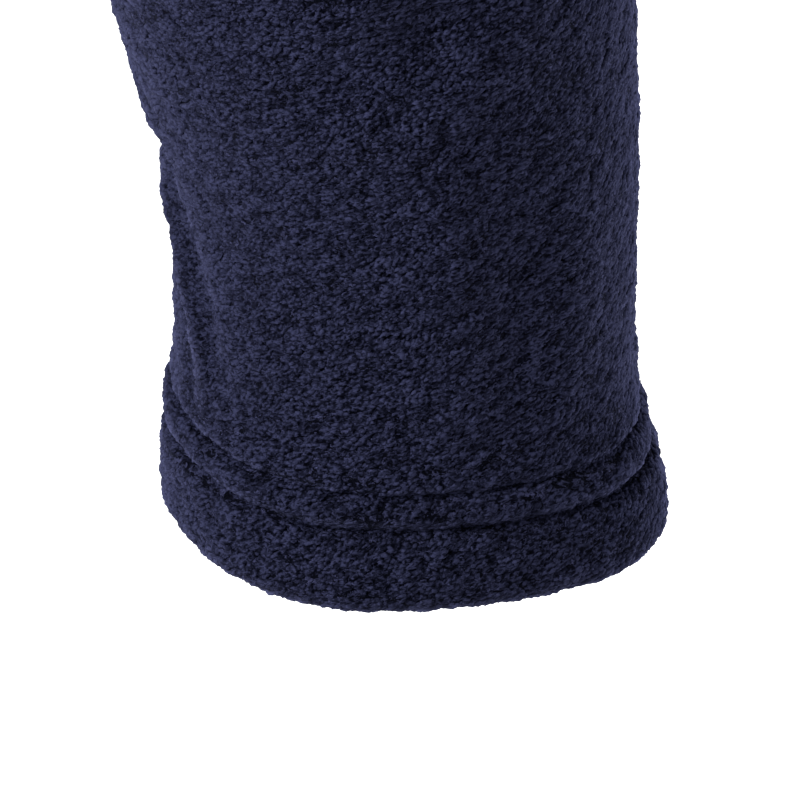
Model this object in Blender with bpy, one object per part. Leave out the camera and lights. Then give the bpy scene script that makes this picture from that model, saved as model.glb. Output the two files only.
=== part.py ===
"""Fleece zip jacket, hollow and in its worn shape.

Metres, +Z up. The front faces -Y and the wearer's left is +X. The origin is the
middle of the neck at the height of the neckline, where the wearer's shoulders
carry the jacket.

The body cloth lies on a surface of stacked rings. A ring's angle starts at the
centre front, reaches the wearer's left side seam at 90 degrees and the centre
back at 180 degrees. Its level runs from 0 at the hem to 1 at the neckline.
"""

import math
from collections import namedtuple

import bmesh
import bpy
import numpy as np
from mathutils import Vector

# Cloth
WALL = 0.0025
HEM_WALL = 0.0050
COLLAR_WALL = 0.0030
SEAM_GAP = 0.0003
CUFF_HEM_DEPTH = 0.0158
HEM_STEP = 0.0015

# Body rings, hem to neckline. Heights are given at the side, front and back.
BodyRing = namedtuple("BodyRing", "level side_z front_z back_z half_width front back boxy")
BODY = (
    BodyRing(0.00, -0.640, -0.640, -0.640, 0.212, 0.137, 0.130, 0.05),
    BodyRing(0.20, -0.512, -0.512, -0.512, 0.210, 0.138, 0.127, 0.05),
    BodyRing(0.40, -0.385, -0.385, -0.385, 0.203, 0.134, 0.118, 0.05),
    BodyRing(0.60, -0.262, -0.258, -0.252, 0.211, 0.141, 0.126, 0.06),
    BodyRing(0.72, -0.182, -0.180, -0.160, 0.206, 0.131, 0.130, 0.06),
    BodyRing(0.80, -0.102, -0.140, -0.108, 0.202, 0.119, 0.124, 0.05),
    BodyRing(0.86, -0.052, -0.108, -0.068, 0.176, 0.107, 0.112, 0.03),
    BodyRing(0.92, -0.026, -0.077, -0.030, 0.134, 0.095, 0.098, 0.02),
    BodyRing(1.00, 0.000, -0.036, 0.008, 0.078, 0.076, 0.072, 0.00),
)

# Armhole, an oval on the body surface about the side line.
ARMHOLE_BOTTOM_LEVEL = 0.60
ARMHOLE_TOP_LEVEL = 0.84
ARMHOLE_HALF_ANGLE = math.radians(37.0)
ARMHOLE_STEPS = 12

# Collar rings, neckline to top edge.
CollarRing = namedtuple("CollarRing", "level side_z front_z back_z half_width front back")
COLLAR = (
    CollarRing(0.0, 0.0005, -0.0355, 0.0085, 0.0780, 0.0760, 0.0720),
    CollarRing(0.5, 0.0265, -0.0055, 0.0345, 0.0745, 0.0725, 0.0700),
    CollarRing(1.0, 0.0510, 0.0240, 0.0600, 0.0730, 0.0705, 0.0680),
)
COLLAR_STEPS = 5

# Sleeve rings, cuff upward. Tilt is how far the outer side of a ring stands above its
# inner side, pitch how far its front hangs below its back, and sway the hem shape's share.
CUFF_Z = -0.655
SleeveRing = namedtuple("SleeveRing", "rise x y across deep tilt pitch sway")
SLEEVE = (
    SleeveRing(0.0000, 0.3900, -0.0200, 0.0381, 0.0355, -2.5, 5.0, 1.0),
    SleeveRing(0.0113, 0.3894, -0.0192, 0.0374, 0.0335, -1.2, 3.5, 0.6),
    SleeveRing(0.0158, 0.3891, -0.0188, 0.0368, 0.0322, -0.5, 2.5, 0.4),
    SleeveRing(0.0242, 0.3894, -0.0182, 0.0357, 0.0315, 0.0, 1.0, 0.1),
    SleeveRing(0.0342, 0.3892, -0.0174, 0.0353, 0.0315, 0.5, 0.0, 0.0),
    SleeveRing(0.0508, 0.3887, -0.0162, 0.0357, 0.0327, 1.5, -1.0, 0.0),
    SleeveRing(0.0807, 0.3853, -0.0140, 0.0394, 0.0370, 3.5, -2.0, 0.0),
    SleeveRing(0.1200, 0.3800, -0.0090, 0.0435, 0.0415, 6.0, -3.0, 0.0),
    SleeveRing(0.1800, 0.3690, 0.0000, 0.0500, 0.0480, 10.0, -3.0, 0.0),
    SleeveRing(0.2500, 0.3500, 0.0070, 0.0580, 0.0560, 16.0, -2.0, 0.0),
    SleeveRing(0.3200, 0.3230, 0.0090, 0.0640, 0.0630, 22.0, 0.0, 0.0),
    SleeveRing(0.3800, 0.2960, 0.0080, 0.0690, 0.0700, 27.0, 0.0, 0.0),
)
SLEEVE_RISES = (
    0.006, 0.0113, 0.0245, 0.034, 0.046, 0.062, 0.082, 0.105, 0.135, 0.170, 0.210, 0.250, 0.290, 0.335, 0.380
)

# The hem's swellings: where each stands round the cuff, how far out, and its spread.
HemSwell = namedtuple("HemSwell", "angle out spread")
HEM_SHAPE = (
    HemSwell(15.0, 0.0019, 14.0),
    HemSwell(72.0, -0.0021, 22.0),
    HemSwell(120.0, 0.0018, 22.0),
)
CAP_STEPS = 6
CAP_START_PULL = 0.75
CAP_END_PULL = 0.75
CAP_START_SLOPE = math.radians(24.0)

# Zip
ZIP_OPENING = 0.0060
TAPE_INNER = 0.0031
TAPE_OUTER = 0.0150
TAPE_WALL = 0.0010
TAPE_DEPTH = 0.0033
CHAIN_HALF_WIDTH = 0.0028
CHAIN_WALL = 0.0022
ZIP_HEAD_LEVEL = 0.94
SLIDER_LENGTH = 0.0100
SLIDER_HALF_WIDTH = 0.0042
PLATE_WALL = 0.0013
BRIDGE_HALF_WIDTH = 0.0008
BRIDGE_LENGTH = 0.0064
BRIDGE_HEIGHT = 0.0026
PULL_BAR_RADIUS = 0.0005
PULL_HALF_WIDTH = 0.0031
PULL_WALL = 0.0010
PULL_EYE_LENGTH = 0.0046
PULL_LENGTH = 0.0260
BOX_LENGTH = 0.0090
STOP_LENGTH = 0.0030
FRONT_COLUMNS = 14
BACK_COLUMNS = 26
COLLAR_COLUMNS = 26
BODY_ROWS = (0.0, 0.039, 0.042, 0.12, 0.20, 0.28, 0.36, 0.44, 0.51, 0.56)
YOKE_STEPS = 5


def spline(knots, values, at):
    """Natural cubic curve through a table's column, read at the given places."""
    knots = np.asarray(knots, float)
    values = np.asarray(values, float)
    at = np.asarray(at, float)
    gaps = np.diff(knots)
    slopes = np.diff(values) / gaps
    size = len(knots)
    system = np.eye(size)
    right = np.zeros(size)
    for i in range(1, size - 1):
        system[i, i - 1] = gaps[i - 1]
        system[i, i] = 2.0 * (gaps[i - 1] + gaps[i])
        system[i, i + 1] = gaps[i]
        right[i] = 6.0 * (slopes[i] - slopes[i - 1])
    bend = np.linalg.solve(system, right)
    k = np.clip(np.searchsorted(knots, at) - 1, 0, size - 2)
    low = (knots[k + 1] - at) / gaps[k]
    high = 1.0 - low
    curve = (low**3 - low) * bend[k] + (high**3 - high) * bend[k + 1]
    return low * values[k] + high * values[k + 1] + curve * gaps[k] ** 2 / 6.0


def column(table, name, at):
    """One named column of a ring table, read at the levels or rises in at."""
    knots = [row[0] for row in table]
    return spline(knots, [getattr(row, name) for row in table], at)


def ring_surface(table, angle, level):
    """Points on stacked rings: an oval whose front and back depths and heights differ."""
    angle, level = np.broadcast_arrays(angle, level)
    front = column(table, "front", level)
    back = column(table, "back", level)
    side_z = column(table, "side_z", level)
    front_z = column(table, "front_z", level)
    back_z = column(table, "back_z", level)
    swell = 1.0
    if table is BODY:
        swell = 1.0 + column(table, "boxy", level) * np.sin(2.0 * angle) ** 2
    c = np.cos(angle)
    x = column(table, "half_width", level) * np.sin(angle) * swell
    y = -((front + back) / 2.0 + (front - back) / 2.0 * c) * c * swell
    z = side_z + ((front_z + back_z) / 2.0 - side_z) * c**2 + (front_z - back_z) / 2.0 * c**3
    return np.stack([x, y, z], axis=-1)


def ring_normal(table, angle, level):
    """Unit outward normal of a ring surface, from small steps along it."""
    step = 1e-4
    around = ring_surface(table, angle + step, level) - ring_surface(table, angle - step, level)
    upward = ring_surface(table, angle, level + step) - ring_surface(table, angle, level - step)
    normal = np.cross(around, upward)
    return normal / np.linalg.norm(normal, axis=-1, keepdims=True)


def sunk(table, angle, level, depth):
    """Points a depth below a ring surface, towards the wearer."""
    depth = np.asarray(depth, float)[..., None]
    return ring_surface(table, angle, level) - ring_normal(table, angle, level) * depth


def angle_at(table, x, level):
    """The angle at which a ring stands x to the left of the centre front."""
    return np.arcsin(x / column(table, "half_width", level))


def armhole_half_angle(level):
    """Half the armhole's width at a level, as an angle; 0 outside the armhole."""
    middle = (ARMHOLE_BOTTOM_LEVEL + ARMHOLE_TOP_LEVEL) / 2.0
    reach = (ARMHOLE_TOP_LEVEL - ARMHOLE_BOTTOM_LEVEL) / 2.0
    inside = np.clip(1.0 - ((level - middle) / reach) ** 2, 0.0, None)
    return ARMHOLE_HALF_ANGLE * np.sqrt(inside)


def body_levels():
    """Levels of the panels' rows, closer together at the armhole's ends."""
    turn = np.linspace(math.pi, 0.0, ARMHOLE_STEPS + 1)
    middle = (ARMHOLE_BOTTOM_LEVEL + ARMHOLE_TOP_LEVEL) / 2.0
    reach = (ARMHOLE_TOP_LEVEL - ARMHOLE_BOTTOM_LEVEL) / 2.0
    armhole = middle + reach * np.cos(turn)
    yoke = np.linspace(ARMHOLE_TOP_LEVEL, 1.0, YOKE_STEPS + 1)[1:]
    return np.concatenate([BODY_ROWS, armhole, yoke])


def cloth(name, outer, inner, closed, material, collection):
    """A closed cloth wall between an outer and an inner grid of points.

    Rows run along the piece and columns across it. A closed grid joins its last
    column to its first, as a tube; an open one gets a wall at each side.
    """
    rows, columns = outer.shape[:2]
    number = np.arange(rows * columns).reshape(rows, columns)
    if closed:
        number = np.concatenate([number, number[:, :1]], axis=1)
    a, b = number[:-1, :-1], number[:-1, 1:]
    c, d = number[1:, 1:], number[1:, :-1]
    front = np.stack([a, b, c, d], axis=-1).reshape(-1, 4)
    under = rows * columns
    back = front[:, ::-1] + under
    rims = []
    foot, head = number[0], number[-1]
    rims.append(np.stack([foot[1:], foot[:-1], foot[:-1] + under, foot[1:] + under], axis=-1))
    rims.append(np.stack([head[:-1], head[1:], head[1:] + under, head[:-1] + under], axis=-1))
    if not closed:
        first, last = number[:, 0], number[:, -1]
        rims.append(np.stack([first[:-1], first[1:], first[1:] + under, first[:-1] + under], axis=-1))
        rims.append(np.stack([last[1:], last[:-1], last[:-1] + under, last[1:] + under], axis=-1))
    faces = np.concatenate([front, back] + rims)
    points = np.concatenate([outer.reshape(-1, 3), inner.reshape(-1, 3)])
    mesh = bpy.data.meshes.new(name)
    mesh.from_pydata(points.tolist(), [], faces.tolist())
    mesh.update()
    mesh.materials.append(material)
    mesh.shade_smooth()
    mesh.set_sharp_from_angle(angle=math.radians(50.0))
    return link_new(name, mesh, collection)


def link_new(name, mesh, collection):
    """A new object for a mesh, in the jacket's collection."""
    obj = bpy.data.objects.new(name, mesh)
    collection.objects.link(obj)
    return obj


def hem_depth(level, column_number):
    """Wall of a body panel: doubled in the turned-up hem, away from the zip tape."""
    in_hem = (level < 0.040) & (column_number >= 2)
    return np.where(in_hem, HEM_WALL, WALL)


def front_panel(name, side, material, collection):
    """One front, from the zip opening to the side seam, armhole edge and shoulder seam."""
    level = body_levels()[:, None]
    half_turn = math.pi / 2.0
    seam = half_turn - SEAM_GAP / 2.0 / column(BODY, "front", level)
    edge = np.minimum(half_turn - armhole_half_angle(level), seam)
    start = angle_at(BODY, ZIP_OPENING, level)
    beside_tape = angle_at(BODY, TAPE_OUTER + 0.0025, level)
    share = np.linspace(0.0, 1.0, FRONT_COLUMNS - 1)[None, :]
    rest = beside_tape + (edge - beside_tape) * share
    angle = np.concatenate([start, rest], axis=1)
    number = np.arange(angle.shape[1])[None, :]
    depth = hem_depth(level, number)
    outer = ring_surface(BODY, angle, level)
    inner = sunk(BODY, angle, level, depth)
    return sided(name, outer, inner, side, material, collection)


def sided(name, outer, inner, side, material, collection):
    """An open cloth piece on the wearer's left, or its mirror image on the right."""
    if side < 0:
        flip = np.array([-1.0, 1.0, 1.0])
        outer = (outer * flip)[:, ::-1]
        inner = (inner * flip)[:, ::-1]
    return cloth(name, outer, inner, False, material, collection)


def back_panel(material, collection):
    """The back, from side seam to side seam, with both armholes and the neckline."""
    level = body_levels()[:, None]
    half_turn = math.pi / 2.0
    seam = half_turn + SEAM_GAP / 2.0 / column(BODY, "back", level)
    edge = np.maximum(half_turn + armhole_half_angle(level), seam)
    share = np.linspace(0.0, 1.0, BACK_COLUMNS + 1)[None, :]
    angle = edge + (2.0 * math.pi - 2.0 * edge) * share
    depth = np.where(level < 0.040, HEM_WALL, WALL) * np.ones_like(angle)
    outer = ring_surface(BODY, angle, level)
    inner = sunk(BODY, angle, level, depth)
    return cloth("back", outer, inner, False, material, collection)


def armhole_edge(turn):
    """The sleeve's seam line on the body surface, and the body's normal along it."""
    middle = (ARMHOLE_BOTTOM_LEVEL + ARMHOLE_TOP_LEVEL) / 2.0
    reach = (ARMHOLE_TOP_LEVEL - ARMHOLE_BOTTOM_LEVEL) / 2.0 - 0.0006
    level = middle + reach * np.cos(turn)
    angle = math.pi / 2.0 - (ARMHOLE_HALF_ANGLE - 0.0030) * np.sin(turn)
    return ring_surface(BODY, angle, level), ring_normal(BODY, angle, level)


def hem_swell(turn):
    """How far the hem stands out of its oval at an angle round the cuff."""
    total = np.zeros_like(turn)
    for swell in HEM_SHAPE:
        away = np.degrees(turn) - swell.angle
        away = (away + 180.0) % 360.0 - 180.0
        total = total + swell.out * np.exp(-((away / swell.spread) ** 2))
    return total


def sleeve_ring(turn, rise):
    """Points of the sleeve's rings: 0 is its outer side, 90 degrees its front."""
    turn, rise = np.broadcast_arrays(turn, rise)
    tilt = np.radians(column(SLEEVE, "tilt", rise))
    pitch = np.radians(column(SLEEVE, "pitch", rise))
    swell = hem_swell(turn) * column(SLEEVE, "sway", rise)
    out = (column(SLEEVE, "across", rise) + swell) * np.cos(turn)
    ahead = (column(SLEEVE, "deep", rise) + swell) * np.sin(turn)
    x = column(SLEEVE, "x", rise) + out * np.cos(tilt)
    y = column(SLEEVE, "y", rise) - ahead * np.cos(pitch)
    z = CUFF_Z + rise + out * np.sin(tilt) - ahead * np.sin(pitch)
    return np.stack([x, y, z], axis=-1)


def grid_normals(points):
    """Outward normals of a tube's grid, from its neighbouring points."""
    around = np.roll(points, -1, axis=1) - np.roll(points, 1, axis=1)
    along = np.gradient(points, axis=0)
    normal = np.cross(along, around)
    return normal / np.linalg.norm(normal, axis=-1, keepdims=True)


def sleeve(name, side, material, collection):
    """A sleeve, from its cuff up through its rings and over its cap to the armhole."""
    turn = np.linspace(0.0, 2.0 * math.pi, 2 * ARMHOLE_STEPS, endpoint=False)[None, :]
    hem = (0.0, CUFF_HEM_DEPTH, CUFF_HEM_DEPTH + HEM_STEP)
    rises = np.array(sorted(hem + SLEEVE_RISES))[:, None]
    tube = sleeve_ring(turn, rises)
    seam, seam_normal = armhole_edge(turn[0])
    top = tube[-1]
    leave = np.array([math.cos(CAP_START_SLOPE), 0.0, -math.sin(CAP_START_SLOPE)])
    arrive = tube[-2].mean(axis=0) - top.mean(axis=0)
    arrive = arrive / np.linalg.norm(arrive)
    t = (np.arange(1, CAP_STEPS + 1) / CAP_STEPS)[:, None, None]
    w = 1.0 - t
    reach = np.linalg.norm(top - seam, axis=-1, keepdims=True)
    cap = (
        (2.0 * w**3 - 3.0 * w**2 + 1.0) * seam
        + (w**3 - 2.0 * w**2 + w) * leave * reach * CAP_START_PULL
        + (3.0 * w**2 - 2.0 * w**3) * top
        + (w**3 - w**2) * arrive * reach * CAP_END_PULL
    )
    outer = np.concatenate([tube, cap])
    normal = grid_normals(outer)
    normal[-1] = seam_normal
    in_hem = rises[:, 0] <= CUFF_HEM_DEPTH
    wall = np.full(len(outer), WALL)
    wall[: len(rises)] = np.where(in_hem, HEM_WALL, WALL)
    inner = outer - normal * wall[:, None, None]
    if side > 0:
        outer = outer[:, ::-1]
        inner = inner[:, ::-1]
    else:
        flip = np.array([-1.0, 1.0, 1.0])
        outer = outer * flip
        inner = inner * flip
    return cloth(name, outer, inner, True, material, collection)


def collar(material, collection):
    """The stand collar, from one side of the zip round the neck to the other."""
    level = np.linspace(0.0, 1.0, COLLAR_STEPS + 1)[:, None]
    start = angle_at(COLLAR, ZIP_OPENING, level)
    beside_tape = angle_at(COLLAR, TAPE_OUTER + 0.0025, level)
    share = np.linspace(0.0, 1.0, COLLAR_COLUMNS + 1)[None, :]
    middle = beside_tape + (2.0 * math.pi - 2.0 * beside_tape) * share
    angle = np.concatenate([start, middle, 2.0 * math.pi - start], axis=1)
    outer = ring_surface(COLLAR, angle, level)
    inner = sunk(COLLAR, angle, level, np.full(angle.shape, COLLAR_WALL))
    return cloth("collar", outer, inner, False, material, collection)


def zip_strip(near, far, depth, wall, foot, head):
    """Outer and inner grids of a strip that runs up the front from x near to x far.

    Foot is a body level and head a collar level.
    """
    body = body_levels()
    body = np.concatenate([[foot], body[body > foot + 0.005]])[:, None]
    neck = np.linspace(0.0, head, COLLAR_STEPS + 1)[1:, None]
    x = np.array([[near, far]])
    grids = []
    for sink in (depth, depth + wall):
        low = sunk(BODY, angle_at(BODY, x, body), body, np.full((len(body), 2), sink))
        high = sunk(COLLAR, angle_at(COLLAR, x, neck), neck, np.full((len(neck), 2), sink))
        grids.append(np.concatenate([low, high]))
    return grids


def block(name, size, centre):
    """A box of the given size about a centre, in the zip's own axes."""
    mesh = bpy.data.meshes.new(name)
    form = bmesh.new()
    bmesh.ops.create_cube(form, size=1.0)
    bmesh.ops.scale(form, vec=Vector(size), verts=form.verts)
    bmesh.ops.translate(form, vec=Vector(centre), verts=form.verts)
    form.to_mesh(mesh)
    form.free()
    return mesh


def rod(name, radius, length):
    """A round bar along X about the origin."""
    mesh = bpy.data.meshes.new(name)
    form = bmesh.new()
    bmesh.ops.create_cone(
        form, cap_ends=True, segments=12, radius1=radius, radius2=radius, depth=length
    )
    turn = Vector((0.0, 0.0, 1.0)).rotation_difference(Vector((1.0, 0.0, 0.0))).to_matrix()
    bmesh.ops.rotate(form, cent=(0.0, 0.0, 0.0), matrix=turn, verts=form.verts)
    form.to_mesh(mesh)
    form.free()
    return mesh


def joined(name, pieces, holes, material, collection, cutters):
    """One body from overlapping pieces, less the holes, by Boolean modifiers."""
    body = link_new(name, pieces[0], collection)
    body.data.materials.append(material)
    for kind, meshes in (("UNION", pieces[1:]), ("DIFFERENCE", holes)):
        for number, mesh in enumerate(meshes):
            other = link_new(f"{name}_{kind.lower()}_{number}", mesh, cutters)
            other.hide_render = True
            other.display_type = "WIRE"
            other.parent = body
            change = body.modifiers.new(other.name, "BOOLEAN")
            change.operation = kind
            change.object = other
    return body


def zip_frame(table, level, depth):
    """A place on the centre front, a depth below its surface, and the cloth's lean there."""
    place = sunk(table, np.zeros(1), np.array([level]), np.array([depth]))[0]
    normal = ring_normal(table, np.zeros(1), np.array([level]))[0]
    return place, math.atan2(-normal[2], -normal[1])


def seat(obj, place, lean):
    """Stands a zip piece at a place on the front, leaning with the cloth."""
    obj.location = place
    obj.rotation_euler = (lean, 0.0, 0.0)
    return obj


def zip_slider(metal, collection, cutters):
    """Two plates round the chain, a post between them and a bridge for the pull."""
    half_gap = CHAIN_WALL / 2.0 + SEAM_GAP
    plate = (2.0 * SLIDER_HALF_WIDTH, PLATE_WALL, SLIDER_LENGTH)
    plate_y = half_gap + PLATE_WALL / 2.0
    face_y = half_gap + PLATE_WALL
    post = (0.0022, 2.0 * half_gap + PLATE_WALL, 0.0026)
    bridge = (2.0 * BRIDGE_HALF_WIDTH, BRIDGE_HEIGHT + 0.0004, BRIDGE_LENGTH)
    bridge_y = -(face_y + BRIDGE_HEIGHT / 2.0 - 0.0002)
    window = (0.0100, BRIDGE_HEIGHT - 0.0010, BRIDGE_LENGTH - 0.0020)
    window_y = -(face_y + window[1] / 2.0)
    pieces = [
        block("slider_front", plate, (0.0, -plate_y, 0.0)),
        block("slider_back", plate, (0.0, plate_y, 0.0)),
        block("slider_post", post, (0.0, 0.0, SLIDER_LENGTH / 2.0 - post[2] / 2.0)),
        block("slider_bridge", bridge, (0.0, bridge_y, 0.0)),
    ]
    holes = [block("slider_window", window, (0.0, window_y, 0.0))]
    return joined("zip_slider", pieces, holes, metal, collection, cutters)


def zip_pull(metal, collection, cutters):
    """A flat tab with an eye, whose bar lies through the slider's bridge."""
    middle = -(PULL_EYE_LENGTH + (PULL_LENGTH - PULL_EYE_LENGTH) / 2.0)
    tab = (2.0 * PULL_HALF_WIDTH, PULL_WALL, PULL_LENGTH - PULL_EYE_LENGTH)
    arm_width = PULL_HALF_WIDTH - BRIDGE_HALF_WIDTH - 0.0008
    arm_x = PULL_HALF_WIDTH - arm_width / 2.0
    arm = (arm_width, PULL_WALL, PULL_EYE_LENGTH + 0.0010)
    pieces = [
        block("pull_tab", tab, (0.0, 0.0, middle)),
        block("pull_arm_left", arm, (arm_x, 0.0, -PULL_EYE_LENGTH / 2.0)),
        block("pull_arm_right", arm, (-arm_x, 0.0, -PULL_EYE_LENGTH / 2.0)),
        rod("pull_bar", PULL_BAR_RADIUS, 2.0 * PULL_HALF_WIDTH - arm_width),
    ]
    return joined("zip_pull", pieces, [], metal, collection, cutters)


def zip_box(metal, collection, cutters):
    """The foot of the zip: a core in the chain's line between two plates."""
    core = (2.0 * CHAIN_HALF_WIDTH, CHAIN_WALL, BOX_LENGTH)
    plate = (2.0 * SLIDER_HALF_WIDTH, 0.0012, BOX_LENGTH)
    plate_y = TAPE_WALL / 2.0 + SEAM_GAP + plate[1] / 2.0
    pieces = [
        block("box_core", core, (0.0, 0.0, 0.0)),
        block("box_front", plate, (0.0, -plate_y, 0.0)),
        block("box_back", plate, (0.0, plate_y, 0.0)),
    ]
    return joined("zip_box", pieces, [], metal, collection, cutters)


def principled(name, colour, roughness, metallic):
    """A Principled material with one colour."""
    material = bpy.data.materials.new(name)
    material.use_nodes = True
    shader = material.node_tree.nodes["Principled BSDF"]
    shader.inputs["Base Color"].default_value = (*colour, 1.0)
    shader.inputs["Roughness"].default_value = roughness
    shader.inputs["Metallic"].default_value = metallic
    return material


def add_zip(collection, cutters):
    """The tapes, the chain and the hard pieces of the zip."""
    for name, side in (("zip_tape_left", 1), ("zip_tape_right", -1)):
        outer, inner = zip_strip(TAPE_INNER, TAPE_OUTER, TAPE_DEPTH, TAPE_WALL, 0.004, ZIP_HEAD_LEVEL)
        tape = principled(name, (0.012, 0.014, 0.030), 0.85, 0.0)
        sided(name, outer, inner, side, tape, collection)
    middle_depth = TAPE_DEPTH + TAPE_WALL / 2.0
    chain_depth = middle_depth - CHAIN_WALL / 2.0
    box_level = 0.006
    level_rise = (BODY[1].side_z - BODY[0].side_z) / (BODY[1].level - BODY[0].level)
    chain_foot = box_level + (BOX_LENGTH + SEAM_GAP) / level_rise
    collar_rise = math.hypot(
        COLLAR[2].front_z - COLLAR[0].front_z, COLLAR[2].front - COLLAR[0].front
    )
    slider_level = ZIP_HEAD_LEVEL - (STOP_LENGTH + SEAM_GAP + SLIDER_LENGTH / 2.0) / collar_rise
    chain_head = slider_level + (SLIDER_LENGTH / 2.0 - 0.0026 - SEAM_GAP) / collar_rise
    outer, inner = zip_strip(
        -CHAIN_HALF_WIDTH, CHAIN_HALF_WIDTH, chain_depth, CHAIN_WALL, chain_foot, chain_head
    )
    teeth = principled("zip_chain", (0.015, 0.017, 0.035), 0.45, 0.0)
    cloth("zip_chain", outer, inner, False, teeth, collection)

    place, lean = zip_frame(COLLAR, slider_level, middle_depth)
    slider = zip_slider(principled("zip_slider", (0.02, 0.022, 0.04), 0.4, 0.6), collection, cutters)
    seat(slider, place, lean)
    face = CHAIN_WALL / 2.0 + SEAM_GAP + PLATE_WALL
    pull_depth = middle_depth - face - PULL_BAR_RADIUS - SEAM_GAP
    place, lean = zip_frame(COLLAR, slider_level, pull_depth)
    pull = zip_pull(principled("zip_pull", (0.02, 0.022, 0.04), 0.4, 0.6), collection, cutters)
    seat(pull, place, lean)

    stop_level = ZIP_HEAD_LEVEL - STOP_LENGTH / 2.0 / collar_rise
    place, lean = zip_frame(COLLAR, stop_level, middle_depth)
    for name, side in (("zip_stop_left", 1), ("zip_stop_right", -1)):
        centre = (side * CHAIN_HALF_WIDTH * 0.65, 0.0, 0.0)
        size = (CHAIN_HALF_WIDTH * 0.7, CHAIN_WALL, STOP_LENGTH)
        stop = link_new(name, block(name, size, centre), collection)
        stop.data.materials.append(principled(name, (0.02, 0.022, 0.04), 0.4, 0.6))
        seat(stop, place, lean)

    box = zip_box(principled("zip_box", (0.02, 0.022, 0.04), 0.5, 0.0), collection, cutters)
    place, lean = zip_frame(BODY, box_level + BOX_LENGTH / 2.0 / level_rise, middle_depth)
    seat(box, place, lean)


def main():
    """Builds the jacket."""
    for obj in list(bpy.data.objects):
        bpy.data.objects.remove(obj, do_unlink=True)
    collection = bpy.data.collections.new("fleece_zip_jacket")
    cutters = bpy.data.collections.new("fleece_zip_jacket_cutters")
    bpy.context.scene.collection.children.link(collection)
    bpy.context.scene.collection.children.link(cutters)
    fleece = (0.012, 0.014, 0.032)
    front_panel("front_left", 1, principled("front_left", fleece, 0.95, 0.0), collection)
    front_panel("front_right", -1, principled("front_right", fleece, 0.95, 0.0), collection)
    back_panel(principled("back", fleece, 0.95, 0.0), collection)
    sleeve("sleeve_left", 1, principled("sleeve_left", fleece, 0.95, 0.0), collection)
    sleeve("sleeve_right", -1, principled("sleeve_right", fleece, 0.95, 0.0), collection)
    collar(principled("collar", fleece, 0.95, 0.0), collection)
    add_zip(collection, cutters)


main()
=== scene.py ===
"""Cloth, zip and sewing of a hollow fleece zip jacket, in metres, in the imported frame.

The front faces -Y, the wearer's left is +X and the origin is the middle of the
neck. Every cloth piece is a grid of points on a smooth form, moved in and out
along its normal by folds, seams, stitch lines and nap.
"""

import logging
import math
from collections.abc import Sequence
from dataclasses import dataclass, field
from enum import Enum

import bpy
import numpy as np
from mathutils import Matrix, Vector
from numpy.typing import NDArray


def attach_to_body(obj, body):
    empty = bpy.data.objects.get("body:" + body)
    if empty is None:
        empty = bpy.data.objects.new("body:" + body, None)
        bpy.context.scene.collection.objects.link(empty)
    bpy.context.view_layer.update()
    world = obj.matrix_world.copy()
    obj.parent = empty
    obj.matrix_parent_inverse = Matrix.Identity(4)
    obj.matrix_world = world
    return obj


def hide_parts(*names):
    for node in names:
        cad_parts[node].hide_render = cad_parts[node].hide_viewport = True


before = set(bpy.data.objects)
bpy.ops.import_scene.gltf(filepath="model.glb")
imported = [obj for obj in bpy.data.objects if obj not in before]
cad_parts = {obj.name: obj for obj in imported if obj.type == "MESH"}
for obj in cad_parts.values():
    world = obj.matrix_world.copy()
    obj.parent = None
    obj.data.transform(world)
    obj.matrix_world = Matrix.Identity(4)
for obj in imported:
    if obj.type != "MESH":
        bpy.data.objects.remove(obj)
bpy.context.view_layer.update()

Array = NDArray[np.float64]
LOG = logging.getLogger("fleece_zip_jacket")

TWO_PI = 2.0 * math.pi

# Thickness of the cloth, of the doubled hem and of the collar.
WALL = 0.0025
HEM_WALL = 0.0050
COLLAR_WALL = 0.0030
# How far two panels lap at a seam, and how far the cloth stands from the zip's middle.
SEAM_LAP = 0.0008
ZIP_EDGE = 0.0060


class Side(Enum):
    """The wearer's side that a piece is on."""

    LEFT = 1
    RIGHT = -1


class Edge(Enum):
    """How an edge of a cloth piece is finished."""

    SEAM = "sewn to its neighbour, so the cloth dips into it"
    FREE = "turned, so the cloth rounds over it"


# ---------------------------------------------------------------- forms


# Large odd numbers that scatter a lattice corner's place into a hashed value.
HASH_AXES = np.array([73856093, 19349663, 83492791])
HASH_SEED = 2654435761
HASH_MIX = 1274126177


def eased(value: Array) -> Array:
    """Runs from 0 to 1 as the value does, level at both ends: 3t^2 - 2t^3."""
    held = np.clip(value, 0.0, 1.0)
    return held * held * (3.0 - 2.0 * held)


def bump(distance: Array, width: float) -> Array:
    """A bell that is 1 at no distance and about a third at one width: exp(-(d/w)^2)."""
    return np.exp(-((distance / width) ** 2))


def unit(vectors: Array) -> Array:
    """The vectors, each divided by its own length."""
    return vectors / np.linalg.norm(vectors, axis=-1, keepdims=True)


def soft_noise(points: Array, size: float, seed: int) -> Array:
    """Smooth random values from -1 to 1.

    Each corner of a lattice a size apart has a hashed value, and a point takes
    the eased mean of the eight corners round it.

    Args:
        points: places, with x, y and z in the last axis.
        size: lattice spacing in metres.
        seed: picks another set of values.

    Returns:
        One value for each point.
    """
    place = points / size
    cell = np.floor(place).astype(np.int64)
    ease = eased(place - cell)
    total = np.zeros(points.shape[:-1])
    for corner in np.ndindex(2, 2, 2):
        step = np.array(corner)
        key = (cell + step) @ HASH_AXES + seed * HASH_SEED
        key = (key ^ (key >> 13)) * HASH_MIX
        value = ((key ^ (key >> 16)) & 0xFFFF) / 32767.5 - 1.0
        total = total + value * np.prod(np.where(step, ease, 1.0 - ease), axis=-1)
    return total


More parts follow.
